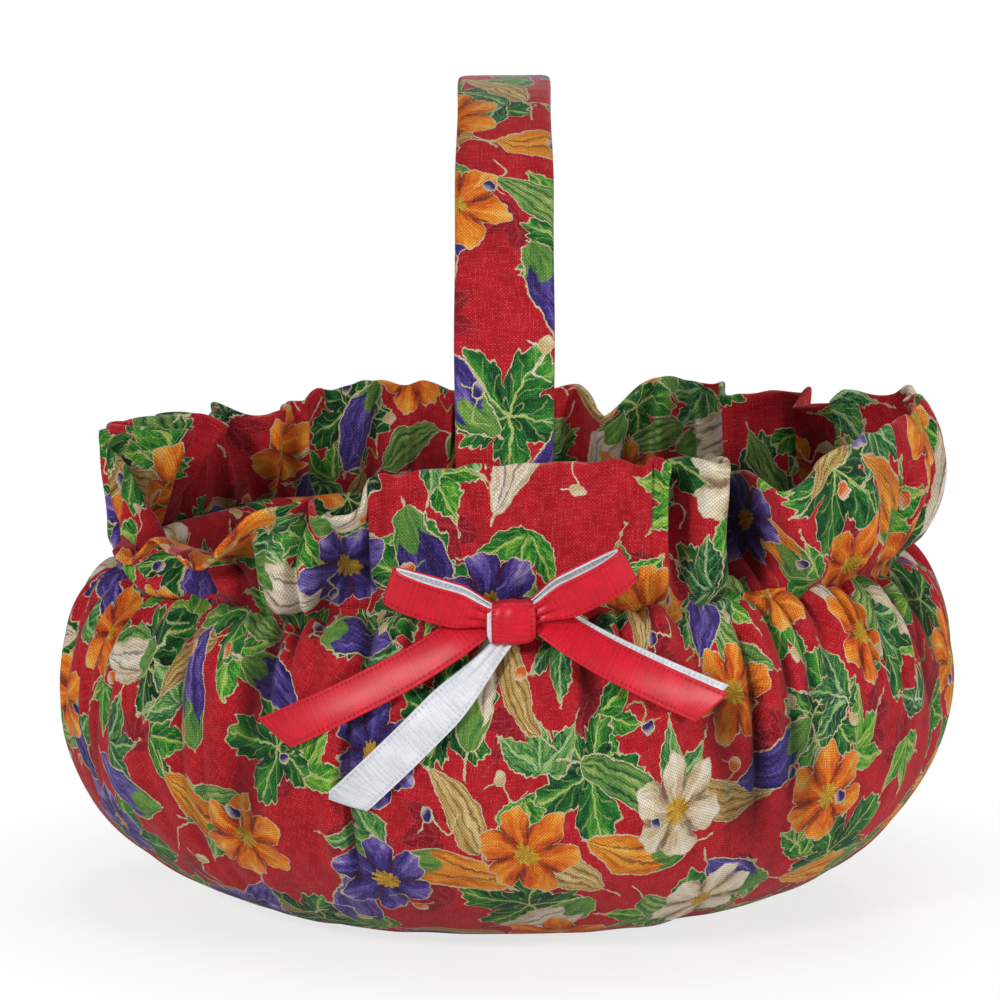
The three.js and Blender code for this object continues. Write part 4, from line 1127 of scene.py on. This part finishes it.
def make_loop(name, side, tilt, inset, finish):
    tilt = math.radians(tilt)
    way = np.array([side * math.cos(tilt), 0, math.sin(tilt)])
    front = turned_about(np.array([0.0, -1.0, 0.0]), way, side * LOOP_FORWARD)
    across = unit(np.cross(front, way))
    root = (KNOT_SIZE[0] / 2 - 1.2 * MM) / math.cos(tilt)
    turn = np.linspace(0, 2 * np.pi, LOOP_ROWS)
    along = root + (LOOP_REACH - inset - root) * np.sin(turn / 2) ** 2
    bulge = np.where(np.sin(turn) > 0, LOOP_BULGE, LOOP_BACK_BULGE)
    swell = (bulge - inset / 2) * np.sin(turn) * np.sin(turn / 2)
    depth = (LOOP_ROOT_GAP - inset) * np.cos(turn / 2) + swell
    middle = KNOT_MIDDLE + along[:, None] * way + depth[:, None] * front
    heading = np.gradient(middle, axis=0)
    face = unit(np.cross(heading, across))
    opened = smooth(0, LOOP_OPENING, np.sin(turn / 2) ** 2)
    width = LOOP_PINCH + (1 - LOOP_PINCH) * opened
    every = np.repeat(across[None, :], len(turn), axis=0)
    ribbon(name, middle, every, face, width, finish, pleat=LOOP_PLEAT)


def body_at(height):
    """Radius and outward direction of the body at heights."""
    _, radius, line_height, way = body_profile()
    side = line_height > 0.5 * MM
    radius, out, up = [
        np.interp(height, line_height[side], values[side]) for values in (radius, way[:, 1], -way[:, 0])
    ]
    return radius, unit(joined(out, up))


def make_tail(name, side, root, end, root_share, finish):
    share = np.linspace(0, 1, TAIL_ROWS)
    start = KNOT_MIDDLE[0] + side * (KNOT_SIZE[0] / 2 - 1.0 * MM + root[0])
    sideways = start + (side * end[0] - start) * share
    height = NECK_HEIGHT - (root[1] + (end[1] - root[1]) * share)
    lift = root[2] + (end[2] - root[2]) * smooth(0, 0.4, share)
    radius, out = body_at(height)
    angle = np.arcsin(sideways / radius)
    face = polar(out[:, 0], angle, out[:, 1])
    crest = lift + TAIL_LIFT * np.exp(-(NECK_HEIGHT - height) / TAIL_SETTLE)
    middle = polar(radius, angle, height) + face * crest[:, None]
    middle[:, 2] += SIDE_TILT * middle[:, 0]
    heading = unit(np.gradient(middle, axis=0))
    across = unit(np.cross(face, heading))
    width = root_share + (1 - root_share) * smooth(0, 0.4, share)
    ribbon(name, middle, across, face, width, finish, TAIL_PLEAT, TAIL_CUP, side * TAIL_END_CUT)


def make_wrap(name, shift, inset, finish, stands_for=()):
    """A ribbon wrapped round the bow's middle: a short band with soft creases, tucked in at its sides."""
    share = np.linspace(-1, 1, KNOT_ROWS)[:, None]
    turn, closed_turn = round_angles(KNOT_COLUMNS)
    swell = 1 - 0.3 * np.abs(share) ** 12 - 0.03 * share ** 2
    crease = 0.14 * MM * np.cos(share * 5 + 0.9 * np.sin(turn)) * (1 - share ** 6) - inset
    crease = crease + 0.07 * MM * np.cos(share * 11 + 1.3 * np.sin(2 * turn + 1)) * (1 - share ** 6)
    flare = 1 + 0.07 * np.sin(turn) * share
    x = shift + share * KNOT_SIZE[0] / 2 * (1 - 0.04 * np.cos(turn))
    square = np.abs(np.cos(turn)) ** KNOT_SQUARENESS + np.abs(np.sin(turn)) ** KNOT_SQUARENESS
    square = square ** (-1 / KNOT_SQUARENESS)
    y = np.cos(turn) * square * (swell * KNOT_SIZE[1] / 2 * flare + crease)
    z = np.sin(turn) * square * (swell * KNOT_SIZE[2] / 2 * flare + crease)
    points = joined(x, y, z) + KNOT_MIDDLE
    cloth = joined(closed_turn * KNOT_SIZE[2] / 2, share * RIBBON_WIDTH / 2)
    made = piece(name, [patch(points, cloth, ring=True)], finish, stands_for)


# Studio


def look(made, place, target):
    made.location = place
    made.rotation_euler = (Vector(target) - Vector(place)).to_track_quat("-Z", "Y").to_euler()
    bpy.context.scene.collection.objects.link(made)


def make_camera():
    lens = bpy.data.cameras.new("camera")
    lens.sensor_width = SENSOR
    lens.lens = LENS
    camera = bpy.data.objects.new("camera", lens)
    beside, _, middle = CAMERA_TARGET
    back, up = CAMERA_AWAY * math.cos(CAMERA_RISE), CAMERA_AWAY * math.sin(CAMERA_RISE)
    look(camera, (beside, -back, middle + up), CAMERA_TARGET)
    bpy.context.scene.camera = camera


def make_lamp(name, place, size, watts):
    lamp = bpy.data.lights.new(name, "AREA")
    lamp.shape = "DISK"
    lamp.size = size
    lamp.energy = watts
    look(bpy.data.objects.new(name, lamp), place, LAMP_TARGET)


def shown_rays(paint):
    """1 for what the camera sees, straight or by gloss or glass, and 0 for what only sends light."""
    kinds = ("Is Camera Ray", "Is Glossy Ray", "Is Transmission Ray")
    straight, glossy, clear = [paint.node("LightPath", None, None, kind) for kind in kinds]
    return straight.maths("MAXIMUM", glossy).maths("MAXIMUM", clear)


def make_floor():
    paint = Finish("studio_floor")
    place = paint.node("TexCoord", None, None, "Object")
    x, y, _ = paint.split(place)
    away = (x * x + y * y) ** 0.5
    shade = paint.ramp(paint.noise(place, 3, 2, flat=False), even_stops("F8F8F8", "FCFCFC"))
    paper = paint.node("BsdfDiffuse", None, {"Color": shade})
    white = paint.node("Emission", None, {"Color": (1, 1, 1, 1), "Strength": 1.0})
    bare = (away.rise(*SHADOW_REACH) * SHADOW_SHARE + (1 - SHADOW_SHARE)) * shown_rays(paint)
    surface = paint.node("MixShader", None, {0: bare, 1: paper, 2: white})
    paint.node("OutputMaterial", None, {"Surface": surface})
    mesh = bpy.data.meshes.new("studio_floor")
    corners = [(x * FLOOR_REACH, y * FLOOR_REACH, 0) for x, y in ((-1, -1), (1, -1), (1, 1), (-1, 1))]
    mesh.from_pydata(corners, [], [(0, 1, 2, 3)])
    mesh.materials.append(paint.owner)
    floor = bpy.data.objects.new("studio_floor", mesh)
    bpy.context.scene.collection.objects.link(floor)


def make_backdrop():
    paint = Finish("studio", "worlds")
    light = paint.node("Background", None, {"Color": (1, 1, 1, 1), "Strength": WORLD_LIGHT})
    white = paint.node("Background", None, {"Color": (1, 1, 1, 1), "Strength": 1.0})
    chosen = paint.node("MixShader", None, {0: shown_rays(paint), 1: light, 2: white})
    paint.node("OutputWorld", None, {"Surface": chosen})
    bpy.context.scene.world = paint.owner


# Making

make_camera()
make_floor()
make_backdrop()
for name, lamp in LAMPS.items():
    make_lamp(name, *lamp)
bpy.context.scene.view_settings.view_transform = "Standard"

cotton = printed_cotton()
red_satin = satin("red_satin", "7E0614", "AC0A1E", "D2142C")
white_satin = satin("white_satin", "A8AEBA", "BEC0C7", "DEE0E4")
fibre = speckled("fibre_wadding", ("D8D4C8", "E9E6DC", "F6F4EC"), 60, 0.95, 0.5 * MM)
tape = speckled("cotton_tape", ("7E1420", "98202C", "B0303A"), 220, 0.9, 0.15 * MM)
elastic = speckled("woven_elastic", ("D9D8D2", "E8E7E2", "F2F1EC"), 300, 0.8, 0.15 * MM)
plastic = speckled("tub_plastic", ("C4C1B8", "D2D0C8", "DAD8D1"), 25, 0.5, 0.04 * MM)
board = speckled("grey_board", ("7D776C", "968F83", "ABA497"), 120, 0.9, 0.12 * MM)
nickel = speckled("nickel_rivet", ("A2A3A1", "B9BAB8", "C8C9C6"), 180, 0.34, 0.02 * MM, 1.0)
thread = speckled("sewing_thread", ("8E1020", "B01A2C", "C42C3A"), 900, 0.75, 0.06 * MM)

make_wadding(fibre)
make_cover(cotton)
make_ruffle(cotton)
make_sleeve(cotton)
make_lining(cotton)

casing, casing_width = ring_band(
    "tape_casing", CASING_INSIDE, casing_high.x, casing_low.z, casing_high.z, tape,
    "neck_casing", 0.08 * MM, True,
)
ring_band(
    "neck_band", ELASTIC_INSIDE, ELASTIC_OUTSIDE, casing_low.z + 0.3 * MM, casing_high.z - 1.0 * MM, elastic,
    "neck_elastic", 0.05 * MM, False,
)

for side, word, tilt in LOOP_TILTS:
    make_loop("red_loop_" + word, side, tilt, 0.0, red_satin)
    make_loop("white_loop_" + word, side, tilt, RIBBON_GAP, white_satin)
for name, (side, root, end, root_share) in TAILS.items():
    ribbon_finish = red_satin if name.startswith("red") else white_satin
    root, end = [value * MM for value in root], [value * MM for value in end]
    make_tail(name, side, root, end, root_share, ribbon_finish)
make_wrap("bow_wrap", 0, 0, red_satin, ["bow_knot"])
make_wrap("bow_underwrap", -0.6 * MM, 0.35 * MM, white_satin)

rigid = {"inner_tub": plastic, "base_board": board, "handle_strip": plastic, "bow_thread": thread}
rigid.update({name: nickel for name in nodes if name.startswith("rivet_")})
for name, finish in rigid.items():
    nodes[name].data.materials.clear()
    nodes[name].data.materials.append(finish)
